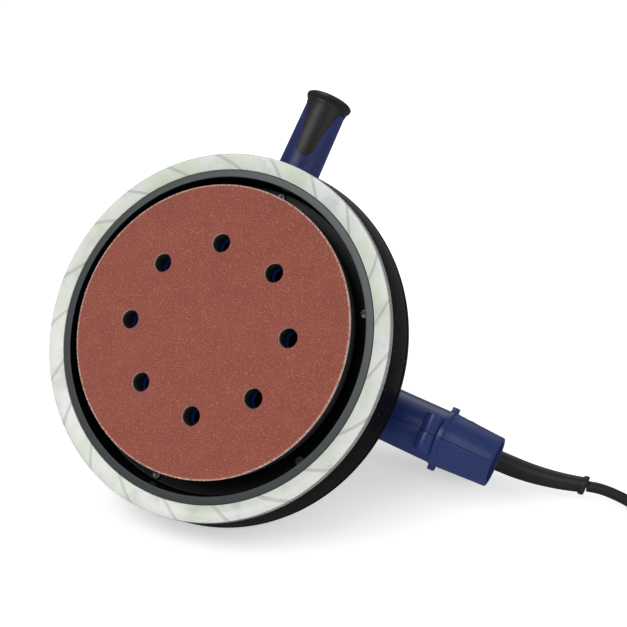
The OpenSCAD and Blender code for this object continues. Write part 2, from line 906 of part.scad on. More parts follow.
module slide_switch() {
    color("#c33a2a") lay() difference() {
        union() {
            // thumb pad outside the handle
            translate([slide_x - 8, tail_y - handle_r - 3.2, handle_z - 5]) cube([16, 2.8, 10]);
            // stem through the window
            translate([slide_x - 5.6, tail_y - handle_r - 1, handle_z - 2.8]) cube([11.2, 6.6, 5.6]);
        }
        for (x = [-5:2.5:5]) {
            translate([slide_x + x - 0.4, tail_y - handle_r - 4, handle_z - 6]) cube([0.8, 1.4, 12]);
        }
    }
}

module speed_dial() {
    color("#c33a2a") lay() along_side(dial_x, tail_y - saddle_w / 2 + 2.2, handle_z) difference() {
        cylinder(r = dial_r, h = 5);
        for (a = [0:30:330]) {
            rotate([0, 0, a]) translate([dial_r, 0, 2.6]) cylinder(r = 0.7, h = 4, $fn = 16);
        }
        translate([-0.5, 2, 4.4]) cube([1, 4, 2]);
    }
}

module light_switch() {
    color("#c9ccd0") lay() translate([rocker_x, tail_y + saddle_w / 2, handle_z]) difference() {
        intersection() {
            translate([-5.6, -3.6, -3.8]) cube([11.2, 6, 7.6]);
            translate([0, -10, -5]) cylinder(r = 12.2, h = 10);
        }
        translate([-0.5, 1.6, -5]) cube([1, 2, 10]);
    }
}

module cord_clamp() {
    color("#3b3b40") lay() translate([handle_end_x - 20, tail_y - 8, handle_z - 9]) difference() {
        cube([8, 16, 6]);
        translate([-1, 8, 8]) rotate([0, 90, 0]) cylinder(r = 3.5, h = 10);
        for (y = [2.6, 13.4]) translate([4, y, -1]) cylinder(r = 1.3, h = 8, $fn = 24);
    }
}

module clamp_screws() {
    color("dimgray") lay() for (y = [-5.4, 5.4]) {
        translate([handle_end_x - 16, tail_y + y, handle_z - 9 - 1.2]) {
            cylinder(r = 1.2, h = 8, $fn = 24);
        }
    }
}

// Flange in the handle, a long taper with a gentle bend, and a bead round the tip
module cord_boot() {
    bead_at = boot_c - 3 * unit(boot_c - boot_b);
    stations = [
        [boot_root[0] - 1.9, boot_root[1], boot_flange_r],
        [boot_root[0] + 1, boot_root[1], boot_flange_r],
        [boot_root[0] + 1.1, boot_root[1], boot_root_r],
        [boot_a[0] - 8, boot_a[1], boot_a_r + 0.1],
        [boot_a[0], boot_a[1] - 0.2, boot_a_r],
        [boot_a[0] + 8, boot_a[1] - 0.9, boot_a_r - 0.2],
        [boot_b[0] - 8, boot_b[1] + 1.1, boot_b_r + 0.2],
        [boot_b[0], boot_b[1], boot_b_r],
        [boot_b[0] + 8, boot_b[1] - 1.4, boot_b_r - 0.2],
        [bead_at[0], bead_at[1], boot_c_r],
        [bead_at[0] + 0.1, bead_at[1], boot_bead_r],
        [boot_c[0], boot_c[1], boot_bead_r]
    ];
    color("#121213") lay() tube(
        [for (s = stations) [s[0], s[1], handle_z]], [for (s = stations) s[2]], 24
    );
}

// ---------------------------------------------------------------- dust duct

// Places of the two screws through the elbow's flange
module elbow_screw_places() {
    for (side = [-1, 1]) {
        translate([elbow_x + 6, tail_y + side * (elbow_r + 2), 0]) children();
    }
}

// Ducting of radius r from the shroud, round the bend, to the dust tube
module elbow_path(r, over) {
    translate([elbow_x + elbow_bend, tail_y, drum_back_z]) rotate([90, 0, 0]) {
        rotate([0, 0, 90]) rotate_extrude(angle = 90) translate([elbow_bend, 0]) circle(r = r);
    }
    translate([elbow_x, tail_y, drum_back_z - over]) cylinder(r = r, h = over + eps);
    along_x(tube_start_x - eps, tail_y, tube_z) cylinder(r = r, h = over + eps);
}

module dust_elbow() {
    color("#15161a") lay() difference() {
        union() {
            elbow_path(elbow_r, 0);
            translate([elbow_x, tail_y, drum_back_z]) {
                cylinder(r = elbow_flange_r, h = elbow_flange_t);
            }
        }
        elbow_path(elbow_bore_r, 1);
        post(base_flange_r + gap, drum_back_z - 1, drum_back_z + base_flange_t + gap);
        post(motor_r + gap, drum_back_z - 1, tube_z + 30);
        elbow_screw_places() post(screw_pilot_r + 0.2, drum_back_z - 1, drum_back_z + 5);
    }
}

module elbow_screws() {
    color("dimgray") lay() elbow_screw_places() {
        translate([0, 0, drum_back_z + elbow_flange_t]) mirror([0, 0, 1]) {
            pan_screw(2.4, 1.6, screw_shank_r, elbow_flange_t + drum_wall - 0.4);
        }
    }
}

// The whole dust tube, before it is split
module tube_form() {
    difference() {
        union() {
            along_x(tube_start_x, tail_y, tube_z) cylinder(r = tube_r, h = rib_x - tube_start_x);
            along_x(rib_x - rib_t, tail_y, tube_z) cylinder(r = rib_r, h = rib_t);
            along_x(rib_x - eps, tail_y, tube_z) {
                cylinder(r1 = tube_mid_r, r2 = tube_end_r, h = tube_end_x - rib_x + eps);
            }
            translate([boss_x, tail_y + boss_len / 2, boss_z]) rotate([90, 0, 0]) {
                cylinder(r = boss_tube_r, h = boss_len);
            }
        }
        along_x(tube_start_x - 1, tail_y, tube_z) {
            cylinder(r = tube_bore_r, h = tube_end_x - tube_start_x + 2);
        }
        translate([boss_x, tail_y + 30, boss_z - 1.6]) rotate([90, 0, 0]) {
            cylinder(r = 1.6, h = 60);
        }
    }
}

module dust_tube_left() {
    color("#1f2f6b") lay() intersection() {
        tube_form();
        translate([0, tail_y, tube_z - 40]) cube([300, 40, 80]);
    }
}

module dust_tube_right() {
    color("#1f2f6b") lay() intersection() {
        tube_form();
        translate([0, tail_y - 40, tube_z - 40]) cube([300, 40, 80]);
    }
}

module tube_screw() {
    color("dimgray") lay() translate([boss_x, tail_y + boss_len / 2 - 1.5, boss_z - 1.6]) {
        rotate([90, 0, 0]) cylinder(r = 1.5, h = boss_len - 3);
    }
}

// ---------------------------------------------------------------- side handle

// Outline of the side handle's skin, as radius and distance from the spindle, out by t
module side_outline(t) {
    polygon([
        [0, side_base_y], [side_base_r + 1.4 + t, side_base_y],
        [side_base_r + 1.4 + t, side_base_y + 3], [side_base_r + t, side_base_y + 6],
        [side_neck_r + t, side_end_y - 9], [side_neck_r + 0.5 + t, side_end_y - 5.5],
        [side_flare_r + t, side_end_y - 2.4], [side_flare_r + t, side_end_y - 1],
        [side_flare_r - 1.2 + t, side_end_y], [0, side_end_y]
    ]);
}

// The tongue of soft grip on the handle's face, from radius r_in out to the skin plus t
module side_tongues(t, over) {
    for (face = [-1, 1]) {
        intersection() {
            difference() {
                rotate_extrude() side_outline(t);
                post(side_neck_r - 2.6 - over, 0, side_end_y + 1);
            }
            rotate([90, 0, 90 + face * 90]) translate([0, 0, 4]) {
                linear_extrude(height = 30) {
                    polygon(concat(
                        [for (a = [180:15:360]) [
                            5.5 * cos(a), side_end_y - 46 + 5.5 * sin(a)
                        ]],
                        [
                            [10.5, side_end_y - 16], [10.5, side_grip_y + 1],
                            [-10.5, side_grip_y + 1], [-10.5, side_end_y - 16]
                        ]
                    ));
                }
            }
        }
    }
}

module side_handle_core() {
    color("#1b2a6c") lay() along_side(side_x, 0, side_z) difference() {
        union() {
            intersection() {
                rotate_extrude() side_outline(0);
                post(40, 0, side_grip_y);
            }
            post(side_neck_r - 3.4, side_grip_y - eps, side_end_y - 6);
        }
        side_tongues(0, 0);
        post(stud_r + 0.02, side_base_y - 1, side_boss_y + stud_out + 1);
    }
}

module side_handle_grip() {
    color("#17181a") lay() along_side(side_x, 0, side_z) {
        difference() {
            intersection() {
                rotate_extrude() side_outline(0);
                post(40, side_grip_y, side_end_y + 1);
            }
            post(side_neck_r - 3.4 + 0.02, side_grip_y - 1, side_end_y - 6 + 0.02);
        }
        side_tongues(0, -0.03);
    }
}

module side_stud() {
    color("silver") lay() along_side(side_x, 0, side_z) {
        post(socket_d / 2 - 0.03, side_boss_y - stud_in, side_boss_y);
        post(stud_r, side_boss_y + 0.2 - eps, side_boss_y + stud_out);
        post(socket_d / 2 - 0.03, side_boss_y - eps, side_boss_y + 0.3);
    }
}

// ---------------------------------------------------------------- cord

module power_cord() {
    route = smooth(cord_points, 3);
    color("#151516") tube(route, [for (p = route) cord_r], 8);
}

// Space that the coil takes: three turns wide and coil_rows high
module cord_coil() {
    r_in = coil_turn_r - cord_d * 1.5;
    color("#151516") translate([coil_centre[0], coil_centre[1], 0]) {
        ring(r_in + 3 * cord_d, r_in, 0, coil_rows * cord_d);
    }
}

module plug_lead() {
    route = smooth(plug_points, 3);
    color("#151516") tube(route, [for (p = route) cord_r], 8);
}

// Flat two-pin plug, lying on its wide side
module plug_body() {
    color("#1a1a1c") translate([plug_at[0], plug_at[1], plug_at[2] - plug_h / 2]) {
        rotate([0, 0, plug_turn]) linear_extrude(height = plug_h) polygon([
            [0, -5], [8, -6], [18, -12.5], [28, -plug_half_w + 1], [plug_len, -plug_half_w],
            [plug_len, plug_half_w], [28, plug_half_w - 1], [18, 12.5], [8, 6], [0, 5]
        ]);
    }
}

module plug_pins() {
    color("silver") translate(plug_at) rotate([0, 0, plug_turn]) {
        for (side = [-1, 1]) {
            along_x(plug_len, side * pin_pitch / 2, 0) cylinder(r = pin_r, h = pin_len);
        }
    }
}

abrasive_disc();
hook_layer();
foam_pad();
pad_plate();
pad_spindle();
pad_screw();
orbit_bearing();
eccentric_hub();
counterweight();
armature_shaft();
armature_core();
armature_windings();
commutator();
cooling_fan();
drum_shell();
skirt_ring();
skirt_screws();
light_ring();
led_board();
led_chips();
bearing_plate();
plate_screws();
lower_bearing();
upper_bearing();
motor_housing();
housing_screws();
motor_cap();
cap_screws();
stator_core();
field_coils();
brush_holders();
carbon_brushes();
handle_left();
handle_right();
handle_grip();
handle_screws();
switch_module();
slide_switch();
speed_dial();
light_switch();
cord_clamp();
clamp_screws();
cord_boot();
dust_elbow();
elbow_screws();
dust_tube_left();
dust_tube_right();
tube_screw();
side_handle_core();
side_handle_grip();
side_stud();
power_cord();
cord_coil();
plug_lead();
plug_body();
plug_pins();
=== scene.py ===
"""Looks of a random-orbit sander with a drum shroud, lying on a floor with its pad on show.

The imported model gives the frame: its bodies, nodes and mounts. Every piece made here is shaped in the
sanding head's own frame, in millimetres, and then laid into the row frame: the origin is the centre of
the abrasive face on the spindle's axis, +Z runs into the motor, +X to the rear handle and -Y to the
side handle.
"""

from __future__ import annotations

import json
import logging
import math
from dataclasses import dataclass
from enum import Enum
from typing import Callable, Iterable, Sequence

import bpy
from mathutils import Matrix, Vector


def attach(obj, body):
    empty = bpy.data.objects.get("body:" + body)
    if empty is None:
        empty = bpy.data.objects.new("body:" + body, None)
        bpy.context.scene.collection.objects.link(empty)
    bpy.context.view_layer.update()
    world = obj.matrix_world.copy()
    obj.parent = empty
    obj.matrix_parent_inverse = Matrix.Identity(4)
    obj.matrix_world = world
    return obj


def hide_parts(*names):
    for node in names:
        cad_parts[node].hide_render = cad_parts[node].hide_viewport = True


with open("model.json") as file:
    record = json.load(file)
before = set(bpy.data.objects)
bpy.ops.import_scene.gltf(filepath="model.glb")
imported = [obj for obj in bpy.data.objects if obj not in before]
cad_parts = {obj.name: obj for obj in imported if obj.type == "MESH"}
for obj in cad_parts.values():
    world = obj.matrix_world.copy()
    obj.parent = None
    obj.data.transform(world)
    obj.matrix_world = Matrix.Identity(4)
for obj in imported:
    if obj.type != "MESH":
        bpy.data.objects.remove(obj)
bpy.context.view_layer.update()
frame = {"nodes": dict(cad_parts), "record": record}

LOG = logging.getLogger("sander")
MM = 0.001
ORBIT_OFFSET = 1.25
Point = Sequence[float]
Colour = tuple[float, float, float]
Obj = bpy.types.Object
Material = bpy.types.Material
Socket = bpy.types.NodeSocket


class Axis(Enum):
    """The direction in the head's frame that a piece turned about Z is laid along."""

    SPINDLE = "spindle"
    REAR = "rear"
    SIDE = "side"

    @property
    def turn(self) -> Matrix:
        """The rotation that takes +Z to this direction."""
        turns = {
            Axis.SPINDLE: Matrix.Identity(4),
            Axis.REAR: Matrix.Rotation(math.radians(90), 4, "Y"),
            Axis.SIDE: Matrix.Rotation(math.radians(90), 4, "X"),
        }
        return turns[self]


class HeadFrame:
    """The sanding head's frame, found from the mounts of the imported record."""

    def __init__(self, record: dict) -> None:
        """Reads the head's axes and origin.

        Args:
            record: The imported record, with its mounts.
        """
        mounts = {mount["name"]: mount for mount in record["mounts"]}
        x = Vector(mounts["dust_port"]["axis"]).normalized()
        y = Vector(mounts["side_handle_socket"]["axis"])
        z = x.cross(y).normalized()
        y = z.cross(x)
        origin = Vector(mounts["sanding_face"]["pos_m"]) + y * ORBIT_OFFSET * MM
        rotation = Matrix((x, y, z)).transposed()
        self.matrix = Matrix.Translation(origin) @ rotation.to_4x4()

    def at(self, x: float, y: float, z: float) -> Vector:
        """The row frame's point for a point of the head, given in millimetres."""
        return self.matrix @ Vector((x * MM, y * MM, z * MM))


HEAD = HeadFrame(frame["record"])


# ---------------------------------------------------------------- bench: making meshes


def clear_choice() -> None:
    """Leaves edit mode if need be and deselects every object."""
    if bpy.context.object is not None and bpy.context.object.mode != "OBJECT":
        bpy.ops.object.mode_set(mode="OBJECT")
    bpy.ops.object.select_all(action="DESELECT")


def choose(obj: Obj) -> None:
    """Selects one object alone and makes it the active one."""
    clear_choice()
    obj.hide_viewport = False
    obj.select_set(True)
    bpy.context.view_layer.objects.active = obj


def named(name: str) -> Obj:
    """Names the active object and its mesh.

    Args:
        name: The new name.

    Returns:
        The active object.
    """
    obj = bpy.context.active_object
    obj.name = name
    obj.data.name = name
    return obj


def select_faces(obj: Obj, test: Callable[[Vector, Vector], bool]) -> None:
    """Selects the faces that pass a test and opens the mesh for editing.

    Args:
        obj: The piece.
        test: Takes a face's centre and normal, in metres, and says whether it is chosen.
    """
    choose(obj)
    bpy.ops.object.mode_set(mode="EDIT")
    bpy.ops.mesh.select_mode(type="FACE")
    bpy.ops.mesh.select_all(action="DESELECT")
    bpy.ops.object.mode_set(mode="OBJECT")
    for face in obj.data.polygons:
        face.select = test(face.center, face.normal)
    bpy.ops.object.mode_set(mode="EDIT")


def close_edit() -> None:
    """Goes back to object mode."""
    bpy.ops.object.mode_set(mode="OBJECT")


def cleaned(obj: Obj, gap: float = 2e-6) -> Obj:
    """Merges doubled points and turns every face outwards.

    Args:
        obj: The piece.
        gap: Points nearer than this, in metres, become one.

    Returns:
        The same piece.
    """
    choose(obj)
    bpy.ops.object.mode_set(mode="EDIT")
    bpy.ops.mesh.select_mode(type="VERT")
    bpy.ops.mesh.select_all(action="SELECT")
    bpy.ops.mesh.remove_doubles(threshold=gap)
    bpy.ops.mesh.dissolve_degenerate(threshold=1e-7)
    bpy.ops.mesh.normals_make_consistent(inside=False)
    close_edit()
    return obj


def draw_line(name: str, points: Sequence[tuple[float, float, float]]) -> Obj:
    """Draws a chain of edges by extruding one point along the given places.

    Args:
        name: The piece's name.
        points: The places in millimetres.

    Returns:
        The piece, left in edit mode with its last point selected.
    """
    clear_choice()
    bpy.ops.mesh.primitive_plane_add(size=MM, location=(0, 0, 0))
    obj = named(name)
    bpy.ops.object.mode_set(mode="EDIT")
    bpy.ops.mesh.select_mode(type="VERT")
    bpy.ops.mesh.select_all(action="SELECT")
    bpy.ops.mesh.merge(type="CENTER")
    places = [Vector(p) * MM for p in points]
    bpy.ops.transform.translate(value=places[0])
    for before, after in zip(places, places[1:]):
        bpy.ops.mesh.extrude_vertices_move(TRANSFORM_OT_translate={"value": after - before})
    return obj


def spun(name: str, profile: Sequence[tuple[float, float]], steps: int = 96) -> Obj:
    """Spins a profile once round Z.

    Args:
        name: The piece's name.
        profile: Radius and height of each corner in millimetres; the first is repeated last on a ring.
        steps: Flats round the turn.

    Returns:
        The closed piece.
    """
    obj = draw_line(name, [(r, 0.0, z) for r, z in profile])
    bpy.ops.mesh.select_all(action="SELECT")
    bpy.ops.mesh.spin(
        steps=steps, angle=2 * math.pi, center=(0, 0, 0), axis=(0, 0, 1), use_auto_merge=False
    )
    close_edit()
    return cleaned(obj)


def rounded(
    corners: Sequence[tuple[float, float, float]], parts: int = 4
) -> list[tuple[float, float]]:
    """Rounds the corners of a profile.

    Args:
        corners: Radius, height and corner rounding of each point, in millimetres.
        parts: Flats to each rounding.

    Returns:
        The finished profile; a closed one repeats its first point last.
    """
    closed = corners[0][:2] == corners[-1][:2]
    ring = list(corners[:-1]) if closed else list(corners)
    out: list[tuple[float, float]] = []
    for i, (r, z, s) in enumerate(ring):
        here = Vector((r, z))
        inner = closed or 0 < i < len(ring) - 1
        if s <= 0 or not inner:
            out.append((r, z))
            continue
        back = Vector(ring[i - 1][:2]) - here
        ahead = Vector(ring[(i + 1) % len(ring)][:2]) - here
        angle = back.angle(ahead)
        reach = min(s / math.tan(angle / 2), 0.48 * back.length, 0.48 * ahead.length)
        start = here + back.normalized() * reach
        end = here + ahead.normalized() * reach
        for k in range(parts + 1):
            t = k / parts
            point = start * (1 - t) ** 2 + here * 2 * t * (1 - t) + end * t * t
            out.append((point.x, point.y))
    if closed:
        out.append(out[0])
    return out


def drawn_bar(
    name: str, stations: Sequence[tuple[float, float, float, float]], sides: int = 48
) -> Obj:
    """Draws a round bar out along X, ring by ring.

    Args:
        name: The piece's name.
        stations: X, Y, Z and radius of each ring, in millimetres.
        sides: Flats round the bar.

    Returns:
        The closed bar.
    """
    x, y, z, radius = stations[0]
    clear_choice()
    bpy.ops.mesh.primitive_circle_add(
        vertices=sides,
        radius=radius * MM,
        location=(x * MM, y * MM, z * MM),
        rotation=(0, math.radians(90), 0),
        fill_type="NGON",
    )
    obj = named(name)
    bpy.ops.object.transform_apply(location=True, rotation=True, scale=True)
    bpy.ops.object.mode_set(mode="EDIT")
    bpy.ops.mesh.select_mode(type="FACE")
    bpy.ops.mesh.select_all(action="SELECT")
    for before, after in zip(stations, stations[1:]):
        move = [(after[i] - before[i]) * MM for i in range(3)]
        scale = after[3] / before[3]
        bpy.ops.mesh.extrude_region_move(TRANSFORM_OT_translate={"value": move})
        bpy.ops.transform.resize(
            value=(1, scale, scale), center_override=[after[i] * MM for i in range(3)]
        )
    close_edit()
    return cleaned(obj)


def block(
    name: str, low: Point, high: Point, edge: float = 0.0, parts: int = 3
) -> Obj:
    """A block between two corners, with rounded edges.

    Args:
        name: The piece's name.
        low: Lowest corner in millimetres.
        high: Highest corner in millimetres.
        edge: Rounding of every edge.
        parts: Flats to the rounding.

    Returns:
        The block.
    """
    clear_choice()
    bpy.ops.mesh.primitive_cube_add(size=1, location=(0, 0, 0))
    obj = named(name)
    bpy.ops.object.mode_set(mode="EDIT")
    bpy.ops.mesh.select_all(action="SELECT")
    size = [(h - l) * MM for l, h in zip(low, high)]
    middle = [(h + l) / 2 * MM for l, h in zip(low, high)]
    bpy.ops.transform.resize(value=size, center_override=(0, 0, 0))
    bpy.ops.transform.translate(value=middle)
    if edge > 0:
        bpy.ops.mesh.bevel(offset=edge * MM, segments=parts, affect="EDGES")
    close_edit()
    return obj


def plate(name: str, outline: Iterable[Point], rise: Point) -> Obj:
    """A flat outline, filled and drawn out into a solid.

    Args:
        name: The piece's name.
        outline: The outline's points in millimetres.
        rise: How far it is drawn out each way, in millimetres.

    Returns:
        The closed solid.
    """
    obj = draw_line(name, list(outline))
    bpy.ops.mesh.select_all(action="SELECT")
    bpy.ops.mesh.edge_face_add()
    bpy.ops.mesh.extrude_region_move(TRANSFORM_OT_translate={"value": [v * MM for v in rise]})
    close_edit()
    return cleaned(obj)


def rod(name: str, radius: float, length: float, place: Matrix, sides: int = 64) -> Obj:
    """A round bar with its middle at a place.

    Args:
        name: The piece's name.
        radius: Its radius in millimetres.
        length: Its length in millimetres.
        place: Where its middle goes, and which way it lies.
        sides: Flats round it.

    Returns:
        The bar.
    """
    clear_choice()
    bpy.ops.mesh.primitive_cylinder_add(
        vertices=sides, radius=radius * MM, depth=length * MM, location=(0, 0, 0)
    )
    return moved(named(name), place)


def moved(obj: Obj, matrix: Matrix) -> Obj:
    """Moves a piece and leaves its place in its mesh.

    Args:
        obj: The piece.
        matrix: The move, in metres.

    Returns:
        The same piece.
    """
    choose(obj)
    obj.matrix_world = matrix @ obj.matrix_world
    bpy.context.view_layer.update()
    bpy.ops.object.transform_apply(location=True, rotation=True, scale=True)
    return obj


def at_place(x: float, y: float, z: float, axis: Axis = Axis.SPINDLE) -> Matrix:
    """The move to a place in the head's frame, in millimetres, along one of its directions."""
    return Matrix.Translation((x * MM, y * MM, z * MM)) @ axis.turn


def with_modifier(obj: Obj, kind: str, **settings: object) -> Obj:
    """Adds a modifier and applies it.

    Args:
        obj: The piece.
        kind: The modifier's type.
        settings: Its settings.

    Returns:
        The same piece.
    """
    choose(obj)
    modifier = obj.modifiers.new(kind.title(), kind)
    for key, value in settings.items():
        setattr(modifier, key, value)
    bpy.ops.object.modifier_apply(modifier=modifier.name)
    return obj


def bevelled(
    obj: Obj, width: float, degrees: float = 35.0, parts: int = 2, slot: int = -1
) -> Obj:
    """Rounds the sharp edges of a piece.

    Args:
        obj: The piece.
        width: Width of the rounding in millimetres.
        degrees: Edges sharper than this are rounded.
        parts: Flats to the rounding.
        slot: Material slot for the new faces, or -1 for their neighbours'.

    Returns:
        The same piece.
    """
    return with_modifier(
        obj,
        "BEVEL",
        width=width * MM,
        segments=parts,
        limit_method="ANGLE",
        angle_limit=math.radians(degrees),
        use_clamp_overlap=True,
        material=slot,
        harden_normals=False,
    )


def combined(
    obj: Obj, others: Iterable[Obj], operation: str
) -> Obj:
    """Cuts or joins pieces with a piece, and removes them.

    Args:
        obj: The piece that stays.
        others: The pieces that are used up.
        operation: "DIFFERENCE", "UNION" or "INTERSECT".

    Returns:
        The piece that stays.
    """
    for other in others:
        with_modifier(obj, "BOOLEAN", object=other, operation=operation, solver="EXACT")
        bpy.data.objects.remove(other)
    return obj


def joined(name: str, parts: Sequence[Obj]) -> Obj:
    """Makes one object of several.

    Args:
        name: The new piece's name.
        parts: The objects, which become part of the first.

    Returns:
        The one object.
    """
    choose(parts[0])
    for part in parts[1:]:
        part.select_set(True)
    if len(parts) > 1:
        bpy.ops.object.join()
    return named(name)


def copied(obj: Obj, matrix: Matrix) -> Obj:
    """A copy of a piece with its own mesh, moved.

    Args:
        obj: The piece.
        matrix: The move, in metres.

    Returns:
        The copy.
    """
    twin = obj.copy()
    twin.data = obj.data.copy()
    bpy.context.scene.collection.objects.link(twin)
    twin.data.transform(matrix)
    return twin


def smoothed(obj: Obj, degrees: float = 34.0) -> Obj:
    """Shades a piece smooth, apart from edges sharper than the angle."""
    choose(obj)
    bpy.ops.object.shade_smooth_by_angle(angle=math.radians(degrees))
    return obj


def turned_about_spindle(degrees: float) -> Matrix:
    """A turn about the spindle's axis."""
    return Matrix.Rotation(math.radians(degrees), 4, "Z")


def bisected(
    obj: Obj, place: Point, normal: Point, keep_front: bool
) -> Obj:
    """Cuts a piece with a plane, drops one side and fills the cut.

    Args:
        obj: The piece.
        place: A point of the plane in millimetres.
        normal: The plane's normal.
        keep_front: Whether the side that the normal points to stays.

    Returns:
        The same piece.
    """
    choose(obj)
    bpy.ops.object.mode_set(mode="EDIT")
    bpy.ops.mesh.select_all(action="SELECT")
    bpy.ops.mesh.bisect(
        plane_co=[p * MM for p in place],
        plane_no=normal,
        use_fill=True,
        clear_inner=keep_front,
        clear_outer=not keep_front,
    )
    close_edit()
    return obj


def half_of(whole: Obj, name: str, side: float, front: bool, seam: float = 0.0) -> Obj:
    """One half of a piece that is split across Y.

    Args:
        whole: The piece before it is split.
        name: The half's name.
        side: Where it is split, in millimetres.
        front: Whether the half is the one on the +Y side.
        seam: The gap between the halves, in millimetres.

    Returns:
        The half.
    """
    half = copied(whole, Matrix.Identity(4))
    half.name = name
    half.data.name = name
    gap = seam / 2 if front else -seam / 2
    bisected(half, (0, side + gap, 0), (0, 1, 0), front)
    return half


def finished(
    obj: Obj,
    body: str,
    material: Material | Sequence[Material],
    replaces: Sequence[str] = (),
    degrees: float = 34.0,
    laid: bool = True,
) -> Obj:
    """Lays a piece into the row frame, dresses it and gives it its body.

    Args:
        obj: The piece, shaped in the head's frame.
        body: The CAD body that it rides on.
        material: Its material, or one for each of its slots.
        replaces: The CAD nodes that it stands for.
        degrees: Edges sharper than this stay sharp in the shading.
        laid: Whether it still has to be laid into the row frame.

    Returns:
        The same piece.
    """
    if laid:
        moved(obj, HEAD.matrix)
    dressed = [material] if isinstance(material, Material) else list(material)
    if not len(obj.data.materials):
        for _ in dressed:
            obj.data.materials.append(None)
    for i, finish in enumerate(dressed):
        obj.data.materials[i] = finish
    smoothed(obj, degrees)
    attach(obj, body)
    if replaces:
        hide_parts(*replaces)
    LOG.info("%s: %d faces on %s", obj.name, len(obj.data.polygons), body)
    return obj


def refined(node: str, name: str, edge: float, parts: int = 2) -> Obj:
    """A merged copy of a CAD node's mesh with its edges rounded.

    Args:
        node: The CAD node.
        name: The copy's name.
        edge: Rounding of its edges in millimetres, 0 for none.
        parts: Flats to the rounding.

    Returns:
        The copy, already in the row frame.
    """
    obj = frame["nodes"][node].copy()
    obj.data = obj.data.copy()
    obj.parent = None
    for key in [k for k in obj.keys() if k.startswith("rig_")]:
        del obj[key]
    bpy.context.scene.collection.objects.link(obj)
    choose(obj)
    named(name)
    obj.data.materials.clear()
    bpy.ops.object.mode_set(mode="EDIT")
    bpy.ops.mesh.select_all(action="SELECT")
    bpy.ops.mesh.remove_doubles(threshold=3e-6)
    bpy.ops.mesh.dissolve_limited(angle_limit=math.radians(1.5))
    bpy.ops.mesh.normals_make_consistent(inside=False)
    close_edit()
    if edge > 0:
        bevelled(obj, edge, 40.0, parts)
    return obj


def rounded_node(
    node: str,
    name: str,
    material: Material,
    edge: float,
    parts: int = 3,
    body: str = "housing",
    degrees: float = 40.0,
) -> Obj:
    """A CAD node's own shape with rounded edges, dressed and given its body.

    Args:
        node: The CAD node, which the piece stands for.
        name: The piece's name.
        material: Its material.
        edge: Rounding of its edges in millimetres.
        parts: Flats to the rounding.
        body: The CAD body that it rides on.
        degrees: Edges sharper than this stay sharp in the shading.

    Returns:
        The piece, in the row frame.
    """
    piece = refined(node, name, edge, parts)
    return finished(piece, body, material, [node], degrees, laid=False)


# ---------------------------------------------------------------- paint shop: materials


class Wiring:
    """Adds nodes to one tree and joins them."""

    def __init__(self, tree: bpy.types.NodeTree) -> None:
        """Keeps the tree that the nodes go to."""
        self.tree = tree

    def add(
        self, kind: str, values: dict[str | int, object] | None = None, **settings: object
    ) -> bpy.types.Node:
        """Adds a node.

        Args:
            kind: The node's type.
            values: Its inputs, each a value or the socket that feeds it.
            settings: Its settings.

        Returns:
            The node.
        """
        node = self.tree.nodes.new(kind)
        for key, value in settings.items():
            setattr(node, key, value)
        for key, value in (values or {}).items():
            if isinstance(value, Socket):
                self.tree.links.new(value, node.inputs[key])
            else:
                node.inputs[key].default_value = value
        return node

    def math(self, operation: str, a: object, b: object = 0.0) -> Socket:
        """The result of a sum on one or two values or sockets."""
        return self.add("ShaderNodeMath", {0: a, 1: b}, operation=operation).outputs[0]

    def times(self, a: object, b: object) -> Socket:
        """One value times another."""
        return self.math("MULTIPLY", a, b)

    def plus(self, a: object, b: object) -> Socket:
        """One value plus another."""
        return self.math("ADD", a, b)

    def rest(self, a: object) -> Socket:
        """What a share leaves of one."""
        return self.math("SUBTRACT", 1.0, a)

    def feed(self, value: Socket, shader: bpy.types.Node, name: str) -> None:
        """Wires a value to one of a shader's inputs."""
        self.tree.links.new(value, shader.inputs[name])

    def mix(self, share: object, a: object, b: object) -> Socket:
        """One colour made of two, by a share."""
        a = a if isinstance(a, Socket) else (*a, 1.0)
        b = b if isinstance(b, Socket) else (*b, 1.0)
        return self.add("ShaderNodeMix", {0: share, 6: a, 7: b}, data_type="RGBA").outputs[2]

    def ramp(self, value: Socket, low: float, high: float) -> Socket:
        """A smooth step from 0 at low to 1 at high."""
        node = self.add(
            "ShaderNodeMapRange",
            {"Value": value, "From Min": low, "From Max": high},
            interpolation_type="SMOOTHSTEP",
        )
        return node.outputs["Result"]

    def span(self, value: Socket, low: float, high: float) -> Socket:
        """A value from 0 to 1 spread from low to high."""
        node = self.add("ShaderNodeMapRange", {"Value": value, "To Min": low, "To Max": high})
        return node.outputs["Result"]

    def noise(
        self, place: Socket, scale: float, detail: float = 3.0, rough: float = 0.55
    ) -> Socket:
        """Noise from 0 to 1 at a place given in millimetres."""
        node = self.add(
            "ShaderNodeTexNoise",
            {"Vector": place, "Scale": scale, "Detail": detail, "Roughness": rough},
        )
        return node.outputs[0]

    def cells(self, place: Socket, scale: float, output: str = "Distance") -> Socket:
        """One output of a cell pattern at a place given in millimetres."""
        node = self.add("ShaderNodeTexVoronoi", {"Vector": place, "Scale": scale})
        return node.outputs[output]

    def group(self, tree: bpy.types.NodeTree, values: dict[str, object]) -> bpy.types.Node:
        """Places a node group and sets its inputs."""
        node = self.tree.nodes.new("ShaderNodeGroup")
        node.node_tree = tree
        for key, value in values.items():
            if isinstance(value, Socket):
                self.tree.links.new(value, node.inputs[key])
            else:
                node.inputs[key].default_value = value
        return node


